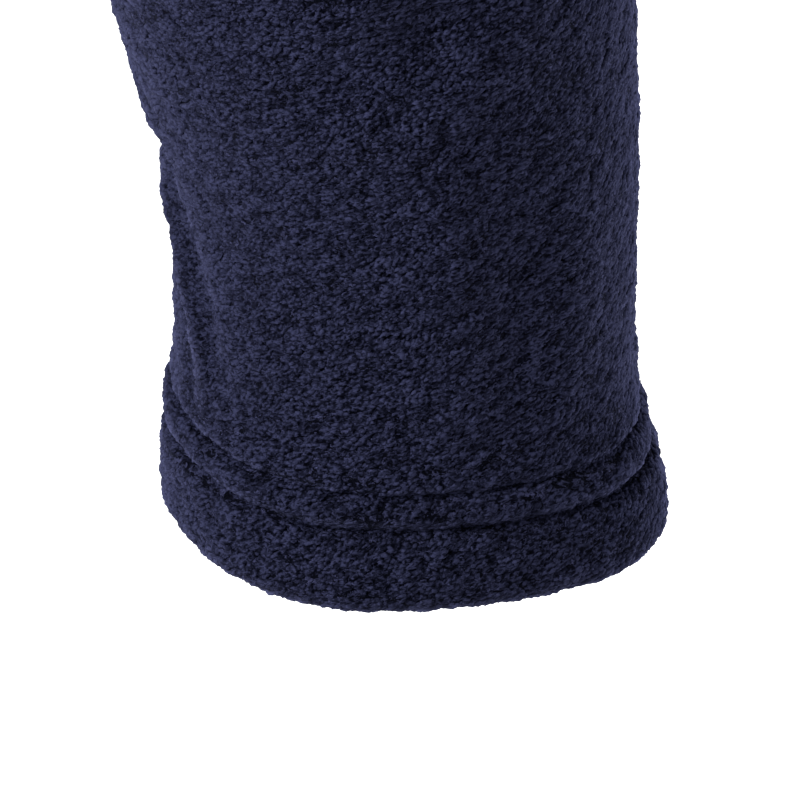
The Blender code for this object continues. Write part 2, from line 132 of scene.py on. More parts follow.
@dataclass(frozen=True)
class RingTable:
    """Ring sizes in named columns, read between the rings by a natural cubic curve."""

    names: tuple[str, ...]
    rows: tuple[tuple[float, ...], ...]

    def column(self, name: str, at: Array) -> Array:
        """One column's values.

        Args:
            name: the column.
            at: places along the first column.

        Returns:
            The curve's values at those places.
        """
        table = np.array(self.rows)
        knots, values = table[:, 0], table[:, self.names.index(name)]
        gaps = np.diff(knots)
        slopes = np.diff(values) / gaps
        system = np.eye(len(knots))
        right = np.zeros(len(knots))
        for i in range(1, len(knots) - 1):
            system[i, i - 1 : i + 2] = gaps[i - 1], 2.0 * (gaps[i - 1] + gaps[i]), gaps[i]
            right[i] = 6.0 * (slopes[i] - slopes[i - 1])
        bend = np.linalg.solve(system, right)
        at = np.asarray(at, float)
        k = np.clip(np.searchsorted(knots, at) - 1, 0, len(knots) - 2)
        low = (knots[k + 1] - at) / gaps[k]
        high = 1.0 - low
        curve = (low**3 - low) * bend[k] + (high**3 - high) * bend[k + 1]
        return low * values[k] + high * values[k + 1] + curve * gaps[k] ** 2 / 6.0


RING_NAMES = ("level", "side_z", "front_z", "back_z", "half_width", "front", "back", "boxy")
BODY_RINGS = RingTable(
    RING_NAMES,
    (
        (0.00, -0.640, -0.640, -0.640, 0.212, 0.137, 0.130, 0.05),
        (0.20, -0.512, -0.512, -0.512, 0.210, 0.138, 0.127, 0.05),
        (0.40, -0.385, -0.385, -0.385, 0.203, 0.134, 0.118, 0.05),
        (0.60, -0.262, -0.258, -0.252, 0.211, 0.141, 0.126, 0.06),
        (0.72, -0.182, -0.180, -0.160, 0.206, 0.131, 0.130, 0.06),
        (0.80, -0.093, -0.140, -0.108, 0.202, 0.119, 0.124, 0.05),
        (0.86, -0.0505, -0.108, -0.068, 0.174, 0.107, 0.112, 0.03),
        (0.92, -0.026, -0.077, -0.030, 0.134, 0.095, 0.098, 0.02),
        (1.00, 0.000, -0.036, 0.008, 0.078, 0.076, 0.072, 0.00),
    ),
)
COLLAR_RINGS = RingTable(
    RING_NAMES,
    (
        (0.0, 0.0005, -0.0355, 0.0085, 0.0780, 0.0760, 0.0720, 0.0),
        (0.5, 0.0265, -0.0055, 0.0345, 0.0745, 0.0725, 0.0700, 0.0),
        (1.0, 0.0510, 0.0240, 0.0600, 0.0730, 0.0705, 0.0680, 0.0),
    ),
)
SLEEVE_RINGS = RingTable(
    ("rise", "x", "y", "across", "deep", "tilt", "pitch", "sway"),
    (
        (0.0000, 0.3900, -0.0200, 0.0381, 0.0355, -2.5, 5.0, 1.0),
        (0.0113, 0.3894, -0.0192, 0.0374, 0.0335, -1.2, 3.5, 0.6),
        (0.0158, 0.3888, -0.0188, 0.0365, 0.0322, -0.5, 2.5, 0.4),
        (0.0242, 0.3891, -0.0182, 0.0354, 0.0315, 0.0, 1.0, 0.1),
        (0.0342, 0.3892, -0.0174, 0.0353, 0.0315, 0.5, 0.0, 0.0),
        (0.0508, 0.3890, -0.0162, 0.0360, 0.0327, 1.5, -1.0, 0.0),
        (0.0807, 0.3853, -0.0140, 0.0394, 0.0370, 3.5, -2.0, 0.0),
        (0.1200, 0.3800, -0.0090, 0.0435, 0.0415, 6.0, -3.0, 0.0),
        (0.1800, 0.3690, 0.0000, 0.0500, 0.0480, 10.0, -3.0, 0.0),
        (0.2500, 0.3500, 0.0070, 0.0580, 0.0560, 16.0, -2.0, 0.0),
        (0.3200, 0.3230, 0.0090, 0.0640, 0.0630, 22.0, 0.0, 0.0),
        (0.3800, 0.2960, 0.0080, 0.0690, 0.0700, 27.0, 0.0, 0.0),
    ),
)


@dataclass(frozen=True)
class RingSurface:
    """Stacked ovals. Angle 0 is the centre front, 90 degrees the wearer's left side."""

    rings: RingTable

    def point(self, angle: Array, level: Array) -> Array:
        """Points on the rings.

        x = half width sin(a), y runs from -front to back, and the height blends the
        side's with the front's and back's by cos(a)^2 and cos(a)^3. A boxy ring
        swells by sin(2a)^2 at its corners.

        Args:
            angle: angles in radians.
            level: levels, which broadcast with the angles.

        Returns:
            Points, with x, y and z in the last axis.
        """
        read = {name: self.rings.column(name, level) for name in self.rings.names[1:]}
        swell = 1.0 + read["boxy"] * np.sin(2.0 * angle) ** 2
        c = np.cos(angle)
        mean, lean = (read["front"] + read["back"]) / 2.0, (read["front"] - read["back"]) / 2.0
        rise = (read["front_z"] + read["back_z"]) / 2.0 - read["side_z"]
        fall = (read["front_z"] - read["back_z"]) / 2.0
        x = read["half_width"] * np.sin(angle) * swell
        y = -(mean + lean * c) * c * swell
        z = read["side_z"] + rise * c**2 + fall * c**3
        return np.stack([x, y, z], axis=-1)

    def normal(self, angle: Array, level: Array) -> Array:
        """Unit outward normals: the cross product of small steps around and upward."""
        step = 1e-4
        around = self.point(angle + step, level) - self.point(angle - step, level)
        upward = self.point(angle, level + step) - self.point(angle, level - step)
        return unit(np.cross(around, upward))

    def angle_at(self, x: float, level: Array) -> Array:
        """The angle at which each ring stands x to the left of the centre front."""
        return np.arcsin(x / self.rings.column("half_width", level))


BODY = RingSurface(BODY_RINGS)
COLLAR = RingSurface(COLLAR_RINGS)


@dataclass(frozen=True)
class Armhole:
    """An oval opening on the body about its side line."""

    bottom: float = 0.60
    top: float = 0.84
    half_angle: float = math.radians(37.0)
    tuck_level: float = 0.0006
    tuck_angle: float = 0.0030

    @property
    def middle(self) -> float:
        """The level of the oval's middle."""
        return (self.bottom + self.top) / 2.0

    @property
    def reach(self) -> float:
        """Half the oval's height, as a level."""
        return (self.top - self.bottom) / 2.0

    def opening(self, level: Array) -> Array:
        """Half the opening's angle at a level: an ellipse, and 0 outside it."""
        inside = np.clip(1.0 - ((level - self.middle) / self.reach) ** 2, 0.0, None)
        return self.half_angle * np.sqrt(inside)

    def edge(self, turn: Array) -> tuple[Array, Array]:
        """The sleeve's seam line, a hair inside the oval, and the body's normal there."""
        level = self.middle + (self.reach - self.tuck_level) * np.cos(turn)
        angle = math.pi / 2.0 - (self.half_angle - self.tuck_angle) * np.sin(turn)
        return BODY.point(angle, level), BODY.normal(angle, level)


ARMHOLE = Armhole()


# ---------------------------------------------------------------- drape


@dataclass(frozen=True)
class Fold:
    """One soft crease along a line on the cloth, given in degrees round and metres high.

    A positive depth is a trough with a low ridge on each side, a negative one a ridge.
    """

    start: tuple[float, float]
    end: tuple[float, float]
    depth: float
    width: float
    bow: float = 0.0
    flank: float = 0.35

    def lift(self, around: Array, height: Array, girth: float) -> Array:
        """How far the cloth stands out because of this fold.

        Across its line the fold is -exp(-q^2) + flank exp(-((|q| - 1.9) / 0.9)^2),
        with q the distance in widths, and along it the depth follows sin^0.8.

        Args:
            around: degrees round the piece.
            height: metres up the piece.
            girth: metres of cloth for each degree.

        Returns:
            Metres outward.
        """
        run = np.array([(self.end[0] - self.start[0]) * girth, self.end[1] - self.start[1]])
        length = float(np.hypot(*run))
        ahead = run / length
        turned = (around - self.start[0] + 180.0) % 360.0 - 180.0
        u, v = turned * girth, height - self.start[1]
        along = (u * ahead[0] + v * ahead[1]) / length
        held = np.clip(along, 0.0, 1.0)
        across = v * ahead[0] - u * ahead[1] - self.bow * 4.0 * held * (1.0 - held)
        beyond = (along - held) * length
        taper = np.sin(math.pi * np.clip(along, 0.001, 0.999)) ** 0.8
        q = np.hypot(across, beyond) / (self.width * (0.75 + 0.25 * taper))
        profile = -np.exp(-(q**2)) + self.flank * bump(q - 1.9, 0.9)
        return self.depth * taper * profile


@dataclass(frozen=True)
class Drape:
    """The folds of one piece, and the slow unevenness between them."""

    folds: tuple[Fold, ...]
    girth: float
    sway: float
    seed: int

    def lift(self, around: Array, height: Array, points: Array) -> Array:
        """All the folds added to two sizes of slow unevenness.

        Args:
            around: degrees round the piece.
            height: metres up the piece.
            points: where the cloth is.

        Returns:
            Metres outward.
        """
        slow = soft_noise(points, 0.11, self.seed) + 0.45 * soft_noise(points, 0.045, self.seed + 1)
        total = self.sway * slow
        for fold in self.folds:
            total = total + fold.lift(around, height, self.girth)
        return total


def folds(*rows: tuple[float, ...]) -> tuple[Fold, ...]:
    """Folds from rows in millimetres.

    Args:
        rows: degrees round and height of the start, the same of the end, then depth,
            width, bow, and the flank where it isn't the usual one.

    Returns:
        The folds.
    """
    made = []
    for row in rows:
        start, end = (row[0], row[1] / 1000.0), (row[2], row[3] / 1000.0)
        made.append(Fold(start, end, *(size / 1000.0 for size in row[4:7]), *row[7:]))
    return tuple(made)


BODY_DRAPE = Drape(
    folds=folds(
        (66, -255, 30, -345, 8.5, 13, 10),
        (70, -290, 44, -415, 7.6, 14, 12),
        (80, -330, 66, -470, 8.5, 15, -8),
        (-64, -250, -26, -330, 8.2, 13, -10),
        (-72, -300, -40, -400, 8.8, 15, -12),
        (-82, -345, -62, -490, 7.6, 15, 8),
        (112, -470, 58, -505, 8.5, 15, -10),
        (108, -535, 64, -560, 7.1, 14, 8),
        (-106, -455, -60, -500, 8.8, 16, 10),
        (-112, -520, -70, -565, 6.8, 14, -8),
        (40, -470, 36, -640, -7.1, 24, 6),
        (-34, -455, -40, -640, -7.6, 24, -6),
        (14, -180, 34, -250, 4.4, 13, 6),
        (-12, -230, -34, -285, 4.4, 13, -5),
        (10, -400, 30, -440, 3.7, 12, 4),
        (-8, -520, -30, -550, 4.1, 12, 4),
        (58, -90, 34, -150, 5.1, 14, 4),
        (-56, -95, -30, -145, 5.1, 14, -4),
        (136, -430, 224, -420, 8.5, 17, -14),
        (144, -475, 210, -480, 7.1, 16, 10),
        (118, -260, 150, -345, 8.2, 14, -10),
        (-120, -250, -152, -350, 8.5, 14, 10),
        (124, -160, 142, -240, 6.1, 14, 6),
        (-122, -165, -144, -235, 6.1, 14, -6),
        (160, -500, 156, -640, -7.1, 26, 8),
        (-156, -510, -162, -640, -6.8, 26, -6),
        (164, -45, 196, -50, 3.7, 12, 4),
    ),
    girth=0.0030,
    sway=0.0032,
    seed=11,
)
UPPER_SLEEVE_FOLDS = folds(
    (196, 385, 118, 330, 8.5, 12, 8),
    (188, 350, 108, 300, 7.1, 12, 6),
    (184, 360, 258, 318, 8.2, 12, -8),
    (172, 262, 78, 282, 9.5, 12, 9),
    (180, 232, 92, 238, 10.5, 11, -6),
    (166, 205, 74, 186, 7.8, 12, -8),
    (196, 250, 262, 268, 6.8, 13, 6),
    (350, 265, 292, 225, 5.8, 14, 6),
    (40, 330, 10, 230, 4.4, 16, 6),
    (152, 158, 64, 140, 6.1, 11, 5),
    (204, 165, 282, 132, 6.8, 12, -6),
    (310, 170, 24, 150, 4.8, 13, 5),
)
LEFT_SLEEVE_DRAPE = Drape(
    folds=UPPER_SLEEVE_FOLDS
    + folds(
        (52, 104, 112, 82, 2, 6.5, -2),
        (64, 22, 62, 68, 1.1, 9, 2, 0.6),
        (176, 62, 146, 22, -1.3, 3.8, -2, 0.5),
        (205, 70, 158, 60, 2, 4.5, 1),
        (205, 95, 300, 70, 3, 10, -4),
        (330, 100, 250, 45, 2.2, 9, 4),
    ),
    girth=0.0009,
    sway=0.0009,
    seed=23,
)
RIGHT_SLEEVE_DRAPE = Drape(
    folds=UPPER_SLEEVE_FOLDS
    + folds(
        (44, 108, 116, 86, 2.4, 7, 2),
        (170, 75, 96, 52, 2, 7, -2),
        (20, 70, 74, 40, 1.6, 7, 2),
        (205, 95, 300, 70, 3, 10, -4),
        (330, 100, 250, 45, 2.2, 9, 4),
    ),
    girth=0.0009,
    sway=0.0011,
    seed=37,
)
COLLAR_DRAPE = Drape(
    folds=folds(
        (30, 4, 62, 50, 1.6, 9, 3),
        (-26, 6, -58, 46, 1.8, 9, -3),
        (108, 20, 160, 30, 1.2, 8, 3),
        (-104, 18, -150, 34, 1.2, 8, -3),
    ),
    girth=0.0013,
    sway=0.0009,
    seed=51,
)


@dataclass(frozen=True)
class HemSewing:
    """A turned-up hem held by two rows of sewing, the lower one first in each pair."""

    rows: tuple[float, float]
    depths: tuple[float, float]
    widths: tuple[float, float]
    puff: float
    wall_step: float = 0.0015

    def wall(self, from_edge: Array) -> Array:
        """The doubled hem's thickness up to the upper row, easing to the plain cloth's."""
        return WALL + (HEM_WALL - WALL) * (1.0 - eased((from_edge - self.rows[1]) / self.wall_step))

    def lift(self, from_edge: Array) -> Array:
        """Two grooves, with the cloth crowned between them and below them.

        Each groove is a bell about its row. The crowns are sin curves between the
        edge and the lower row, and between the rows.

        Args:
            from_edge: metres from the cloth's edge.

        Returns:
            Metres outward.
        """
        sizes = zip(self.rows, self.depths, self.widths)
        grooves = sum(depth * bump(from_edge - row, width) for row, depth, width in sizes)
        lower, upper = self.rows
        below = np.clip(from_edge / lower, 0.0, 1.0)
        between = np.clip((from_edge - lower) / (upper - lower), 0.0, 1.0)
        return self.puff * (np.sin(math.pi * below) * 0.8 + np.sin(math.pi * between)) - grooves


@dataclass(frozen=True)
class ZipSewing:
    """The row of sewing that holds a front edge to its zip tape."""

    row: float = 0.0065
    depth: float = 0.0007
    width: float = 0.0010
    calm: float = 0.020

    def applied(self, lift: Array, from_zip: Array) -> Array:
        """The lift, calmed towards the zip and with a groove along the row."""
        return lift * eased(from_zip / self.calm) - self.depth * bump(from_zip - self.row, self.width)


ZIP_SEWING = ZipSewing()
CUFF_SEWING = HemSewing((0.0129, 0.0185), (0.0019, 0.0015), (0.0009, 0.0007), puff=0.0005)
BODY_SEWING = HemSewing((0.0185, 0.0243), (0.0012, 0.0010), (0.0013, 0.0010), puff=0.0006)


# ---------------------------------------------------------------- meshes


def mesh_object(name: str, points: Array, faces: Sequence[NDArray[np.int64]]) -> bpy.types.Object:
    """A smooth-shaded object from points and faces.

    Args:
        name: the object's name.
        points: one row of x, y and z for each vertex.
        faces: one array for each count of corners, a row for each face.

    Returns:
        The object, linked to the scene.
    """
    mesh = bpy.data.meshes.new(name)
    sizes = np.concatenate([np.full(len(group), group.shape[1]) for group in faces])
    corners = np.concatenate([group.reshape(-1) for group in faces])
    starts = np.concatenate([[0], np.cumsum(sizes)[:-1]])
    mesh.vertices.add(len(points))
    mesh.vertices.foreach_set("co", points.astype(np.float32).ravel())
    mesh.loops.add(len(corners))
    mesh.loops.foreach_set("vertex_index", corners.astype(np.int32))
    mesh.polygons.add(len(sizes))
    mesh.polygons.foreach_set("loop_start", starts.astype(np.int32))
    mesh.update(calc_edges=True)
    mesh.validate()
    mesh.shade_smooth()
    obj = bpy.data.objects.new(name, mesh)
    bpy.context.scene.collection.objects.link(obj)
    return obj


def point_values(obj: bpy.types.Object, name: str, values: Array) -> None:
    """Stores one number for each vertex under a name that a material can read."""
    layer = obj.data.attributes.new(name, "FLOAT", "POINT")
    layer.data.foreach_set("value", values.astype(np.float32).ravel())


def point_vectors(obj: bpy.types.Object, name: str, vectors: Array) -> None:
    """Stores one direction for each vertex under a name that a material can read."""
    layer = obj.data.attributes.new(name, "FLOAT_VECTOR", "POINT")
    layer.data.foreach_set("vector", vectors.astype(np.float32).ravel())


def shell_faces(rows: int, columns: int, closed: bool) -> list[NDArray[np.int64]]:
    """Faces of a wall between two grids of the same size, the outer one numbered first.

    Args:
        rows: rows of either grid.
        columns: columns of either grid.
        closed: whether the last column joins the first, as in a tube.

    Returns:
        Four-cornered faces: both sides and the rims that close them.
    """
    number = np.arange(rows * columns).reshape(rows, columns)
    if closed:
        number = np.concatenate([number, number[:, :1]], axis=1)
    under = rows * columns
    front = np.stack([number[:-1, :-1], number[:-1, 1:], number[1:, 1:], number[1:, :-1]], axis=-1)
    front = front.reshape(-1, 4)
    lines = [number[0, ::-1], number[-1]]
    if not closed:
        lines += [number[:, 0], number[::-1, -1]]
    rims = [np.stack([a[:-1], a[1:], a[1:] + under, a[:-1] + under], axis=-1) for a in lines]
    return [np.concatenate([front, front[:, ::-1] + under] + rims)]


def thinned_shell_faces(rows: int, columns: int, kept: Array, stride: int) -> list[NDArray[np.int64]]:
    """Faces of a tube's wall whose inner grid keeps only some rows and columns.

    Args:
        rows: rows of the outer grid.
        columns: columns of the outer grid, a multiple of the stride.
        kept: the outer rows that the inner grid has, first and last among them.
        stride: one inner column for this many outer ones.

    Returns:
        Four-cornered faces of both sides, and many-cornered ones of the two rims.
    """
    outer = np.arange(rows * columns).reshape(rows, columns)
    outer = np.concatenate([outer, outer[:, :1]], axis=1)
    few = columns // stride
    inner = rows * columns + np.arange(len(kept) * few).reshape(len(kept), few)
    inner = np.concatenate([inner, inner[:, :1]], axis=1)
    front = np.stack([outer[:-1, :-1], outer[:-1, 1:], outer[1:, 1:], outer[1:, :-1]], axis=-1)
    back = np.stack([inner[1:, :-1], inner[1:, 1:], inner[:-1, 1:], inner[:-1, :-1]], axis=-1)
    span = np.arange(few)[:, None] * stride + np.arange(stride + 1)
    foot = np.concatenate([outer[0][span][:, ::-1], inner[0, :-1, None], inner[0, 1:, None]], axis=1)
    head = np.concatenate([outer[-1][span], inner[-1, 1:, None], inner[-1, :-1, None]], axis=1)
    return [np.concatenate([front.reshape(-1, 4), back.reshape(-1, 4)]), np.concatenate([foot, head])]


# Where the rows of a rounded rim lie, as shares of its radius, and how many are turned under.
RIM_SHARES = np.array([0.0, 0.08, 0.30, 0.60, 1.0])
RIM_WRAP = 4
# How much of a full half round an edge is drawn in.
ROUNDNESS = 0.94


def spread(width: Array, count: int, rim: float) -> Array:
    """Places across a width: close together within a rim of both ends, even between.

    Args:
        width: the widths, with a last axis of 1.
        count: how many even places there are.
        rim: how far in the close places reach.

    Returns:
        Distances from the first end, in the last axis.
    """
    near = np.broadcast_to(rim * RIM_SHARES, width.shape[:-1] + RIM_SHARES.shape)
    middle = rim + (width - 2.0 * rim) * np.linspace(0.0, 1.0, count + 2)[1:-1]
    return np.concatenate([near, middle, width - near[..., ::-1]], axis=-1)


@dataclass(frozen=True)
class Finish:
    """How a cloth grid is finished at its four edges."""

    first: Edge
    last: Edge
    foot: Edge
    head: Edge
    dip: float = 0.0015
    dip_width: float = 0.0024
    calm: float = 0.018
    seam_round: float = 0.55


def distances(points: Array) -> tuple[Array, Array, Array, Array]:
    """How far each point of a grid is from its first and last column and row, along the cloth."""
    across = np.linalg.norm(np.diff(points, axis=1), axis=-1)
    across = np.pad(np.cumsum(across, axis=1), ((0, 0), (1, 0)))
    along = np.linalg.norm(np.diff(points, axis=0), axis=-1)
    along = np.pad(np.cumsum(along, axis=0), ((1, 0), (0, 0)))
    return across, across[:, -1:] - across, along, along[-1:] - along


def rounded(distance: Array, wall: Array) -> Array:
    """How far both faces of a wall draw in near an edge, to a half round."""
    radius = wall / 2.0
    inside = np.clip(radius - distance, 0.0, radius)
    return ROUNDNESS * (radius - np.sqrt(radius**2 - inside**2))


def finished(
    points: Array, normals: Array, lift: Array, wall: Array, edges: Finish, tube: bool = False
) -> tuple[Array, Array]:
    """The outer and inner faces of a cloth grid.

    The cloth is moved by its lift, which calms down towards each seam. Near a seam
    it also dips by a bell, and near every edge both faces draw in to a half round.

    Args:
        points: the smooth outer form.
        normals: its unit outward normals.
        lift: metres outward, before the edges are finished.
        wall: thickness at each point.
        edges: the finish of the four edges.
        tube: whether the grid has no first and last column.

    Returns:
        Outer and inner grids of points.
    """
    kinds = (edges.first, edges.last, edges.foot, edges.head)
    away = distances(points)
    draw = np.zeros(lift.shape)
    for number, (kind, distance) in enumerate(zip(kinds, away)):
        if tube and number < 2:
            continue
        if kind is Edge.SEAM:
            lift = lift * eased(distance / edges.calm) - edges.dip * bump(distance, edges.dip_width)
            draw = np.maximum(draw, edges.seam_round * rounded(distance, wall))
        else:
            draw = np.maximum(draw, rounded(distance, wall))
    outer = points + normals * (lift - draw)[..., None]
    inner = points + normals * (lift - wall + draw)[..., None]
    return outer, inner


def grid_normals(outer: Array) -> Array:
    """Unit normals of a grid: the cross product of its steps across and along."""
    return unit(np.cross(np.gradient(outer, axis=1), np.gradient(outer, axis=0)))


@dataclass(frozen=True)
class SewnLine:
    """A line of sewing on a cloth grid: its places and the cloth's normals there."""

    points: Array
    normals: Array

    def stations(self, pitch: float) -> tuple[Array, Array, Array]:
        """Evenly spaced places along the line.

        Args:
            pitch: metres between stations.

        Returns:
            Places, unit directions ahead and unit normals.
        """
        run = np.pad(np.cumsum(np.linalg.norm(np.diff(self.points, axis=0), axis=-1)), (1, 0))
        at = np.arange(pitch / 2.0, run[-1], pitch)
        near = 1e-4

        def read(places: Array, values: Array) -> Array:
            """The values at some distances along the line."""
            return np.stack([np.interp(places, run, values[:, k]) for k in range(3)], axis=-1)

        ahead = unit(read(at + near, self.points) - read(at - near, self.points))
        up = read(at, self.normals)
        up = up - ahead * (up * ahead).sum(axis=-1, keepdims=True)
        return read(at, self.points), ahead, unit(up)


def sewn_line(outer: Array, away: Array, distance: float) -> SewnLine:
    """The line at one distance from a grid's first row.

    Args:
        outer: the cloth's outer grid.
        away: each point's distance from the first row, which grows along each column.
        distance: metres from the first row to the line.

    Returns:
        The line, from the first column to the last.
    """
    row = np.clip((away < distance).sum(axis=0), 1, len(outer) - 1)
    column = np.arange(outer.shape[1])
    low, high = away[row - 1, column], away[row, column]
    share = ((distance - low) / (high - low))[:, None]
    normal = grid_normals(outer)
    places = outer[row - 1, column] * (1.0 - share) + outer[row, column] * share
    return SewnLine(places, normal[row - 1, column] * (1.0 - share) + normal[row, column] * share)


def walled(name: str, outer: Array, inner: Array) -> bpy.types.Object:
    """An open piece of cloth, as a closed wall between its outer and inner grids."""
    joined = np.concatenate([outer.reshape(-1, 3), inner.reshape(-1, 3)])
    return mesh_object(name, joined, shell_faces(*outer.shape[:2], False))


# ---------------------------------------------------------------- materials


Colour = tuple[float, float, float, float]
Socket = bpy.types.NodeSocket


@dataclass
class NodeSheet:
    """A node tree being filled, with short ways to add and join nodes."""

    tree: bpy.types.NodeTree

    def join(self, socket: Socket, value: object) -> None:
        """Gives an input a value, or links another node's output to it."""
        if isinstance(value, Socket):
            self.tree.links.new(value, socket)
        else:
            socket.default_value = value

    def add(self, kind: str, values: dict | None = None, **settings: object) -> bpy.types.Node:
        """A new node.

        Args:
            kind: the node's type.
            values: values, or sockets to join, by input name or number.
            settings: properties of the node.

        Returns:
            The node.
        """
        node = self.tree.nodes.new(kind)
        for name, value in settings.items():
            setattr(node, name, value)
        for name, value in (values or {}).items():
            self.join(node.inputs[name], value)
        return node

    def maths(self, operation: str, *values: object) -> Socket:
        """The result of a sum on one, two or three values or sockets."""
        return self.add("ShaderNodeMath", dict(enumerate(values)), operation=operation).outputs[0]

    def times(self, first: object, second: object) -> Socket:
        """The product of two values or sockets."""
        return self.maths("MULTIPLY", first, second)

    def scaled(self, value: object, gain: object, offset: object) -> Socket:
        """A value or socket times a gain, plus an offset."""
        return self.maths("MULTIPLY_ADD", value, gain, offset)

    def place(self) -> Socket:
        """Where a point is, in its piece's own metres."""
        return self.add("ShaderNodeTexCoord").outputs["Object"]

    def stored(self, name: str, output: str = "Fac") -> Socket:
        """What the mesh stores for each vertex under a name."""
        return self.add("ShaderNodeAttribute", attribute_name=name).outputs[output]

    def camera_ray(self) -> Socket:
        """1 where the camera itself looks, and 0 for light that bounces."""
        return self.add("ShaderNodeLightPath").outputs["Is Camera Ray"]

    def edge_on(self, power: float, **values: Socket) -> Socket:
        """How far the surface is seen edge on, from 0 to 1, raised to a power."""
        weight = self.add("ShaderNodeLayerWeight", {"Blend": 0.5} | values)
        return self.maths("POWER", weight.outputs["Facing"], power)

    def noise(self, where: Socket, scale: float, detail: float, twist: float = 0.0) -> Socket:
        """A noise texture's value, at so many cells in a metre."""
        values = {"Vector": where, "Scale": scale, "Detail": detail, "Distortion": twist}
        return self.add("ShaderNodeTexNoise", values).outputs["Fac"]

    def ramp(self, value: Socket, low: float, high: float) -> Socket:
        """The value run from 0 at low to 1 at high, eased."""
        span = {"Value": value, "From Min": low, "From Max": high}
        return self.add("ShaderNodeMapRange", span, interpolation_type="SMOOTHSTEP").outputs["Result"]

    def blend(self, share: object, low: object, high: object) -> Socket:
        """A colour between two colours."""
        node = self.add("ShaderNodeMix", {0: share}, data_type="RGBA")
        self.join(node.inputs[6], low)
        self.join(node.inputs[7], high)
        return node.outputs[2]

    def bumps(self, height: Socket, relief: float) -> Socket:
        """Normals that follow a height from 0 to 1, so many metres high."""
        return self.add("ShaderNodeBump", {"Height": height, "Distance": relief}).outputs["Normal"]

    def shade(self, shader: bpy.types.Node, colour: Socket, rough: Socket, normal: Socket) -> None:
        """Joins a shader to its base colour, its roughness and its normals."""
        for name, socket in {"Base Color": colour, "Roughness": rough, "Normal": normal}.items():
            self.join(shader.inputs[name], socket)


def new_material(name: str, **constants: float) -> tuple[bpy.types.Material, NodeSheet, bpy.types.Node]:
    """A material with its node sheet and its shader, whose constant inputs are set."""
    material = bpy.data.materials.new(name)
    material.use_nodes = True
    shader = material.node_tree.nodes["Principled BSDF"]
    for socket, value in constants.items():
        shader.inputs[socket.replace("_", " ").title().replace("Ior", "IOR")].default_value = value
    return material, NodeSheet(material.node_tree), shader


@dataclass(frozen=True)
class NapEffect:
    """The nap of a brushed knit as a node group: clumps of curled fibre, with a mask of painted shade in
    their gaps and painted light on their tips.
    """

    name: str = "nap"
    squash: tuple[float, float, float] = (0.80, 0.80, 1.0)
    warp_cells: float = 700.0
    warp_reach: tuple[float, float, float] = (0.0010, 0.0010, 0.0010)
    softness: float = 0.35
    clump_span: tuple[float, float] = (0.75, 0.10)
    clump_share: float = 0.55
    curl_share: float = 1.3
    fibre_cells: float = 5200.0
    fibre_span: tuple[float, float] = (0.30, 0.70)
    # Heights over which the painted light runs from the shaded gaps to the lit tips.
    tip_span: tuple[float, float] = (0.76, 1.10)

    def make(self) -> bpy.types.NodeTree:
        """The group: its inputs are cells in a metre, its outputs the height and a mask of painted light,
        low in the gaps and high on the tips.
        """
        group = bpy.data.node_groups.new(self.name, "ShaderNodeTree")
        sheet = NodeSheet(group)
        for name, way in (("Clumps", "INPUT"), ("Curls", "INPUT"), ("Height", "OUTPUT"), ("Painted_Tip_Light", "OUTPUT")):
            group.interface.new_socket(name, in_out=way, socket_type="NodeSocketFloat")
        given = sheet.add("NodeGroupInput")
        flat = sheet.add("ShaderNodeMapping", {"Vector": sheet.place(), "Scale": self.squash}).outputs[0]
        warp = sheet.add("ShaderNodeTexNoise", {"Vector": flat, "Scale": self.warp_cells, "Detail": 1.0})
        pulled = sheet.add(
            "ShaderNodeVectorMath",
            {0: warp.outputs["Color"], 1: self.warp_reach, 2: flat},
            operation="MULTIPLY_ADD",
        ).outputs[0]
        values = {"Vector": pulled, "Scale": given.outputs["Clumps"], "Smoothness": self.softness}
        cells = sheet.add("ShaderNodeTexVoronoi", values, feature="SMOOTH_F1")
        clump = sheet.ramp(cells.outputs["Distance"], *self.clump_span)
        curl = sheet.noise(pulled, given.outputs["Curls"], 1.0, 0.8)
        height = sheet.scaled(curl, self.curl_share, sheet.times(clump, self.clump_share))
        fibre = sheet.ramp(sheet.noise(flat, self.fibre_cells, 1.0, 1.2), *self.fibre_span)
        # Painted shade and light: low places darken and high ones pale by their height, times a fibre
        # pattern.
        painted_light_share = sheet.times(sheet.ramp(height, *self.tip_span), sheet.scaled(fibre, 0.7, 0.3))
        sheet.add("NodeGroupOutput", {"Height": height, "Painted_Tip_Light": painted_light_share})
        return group


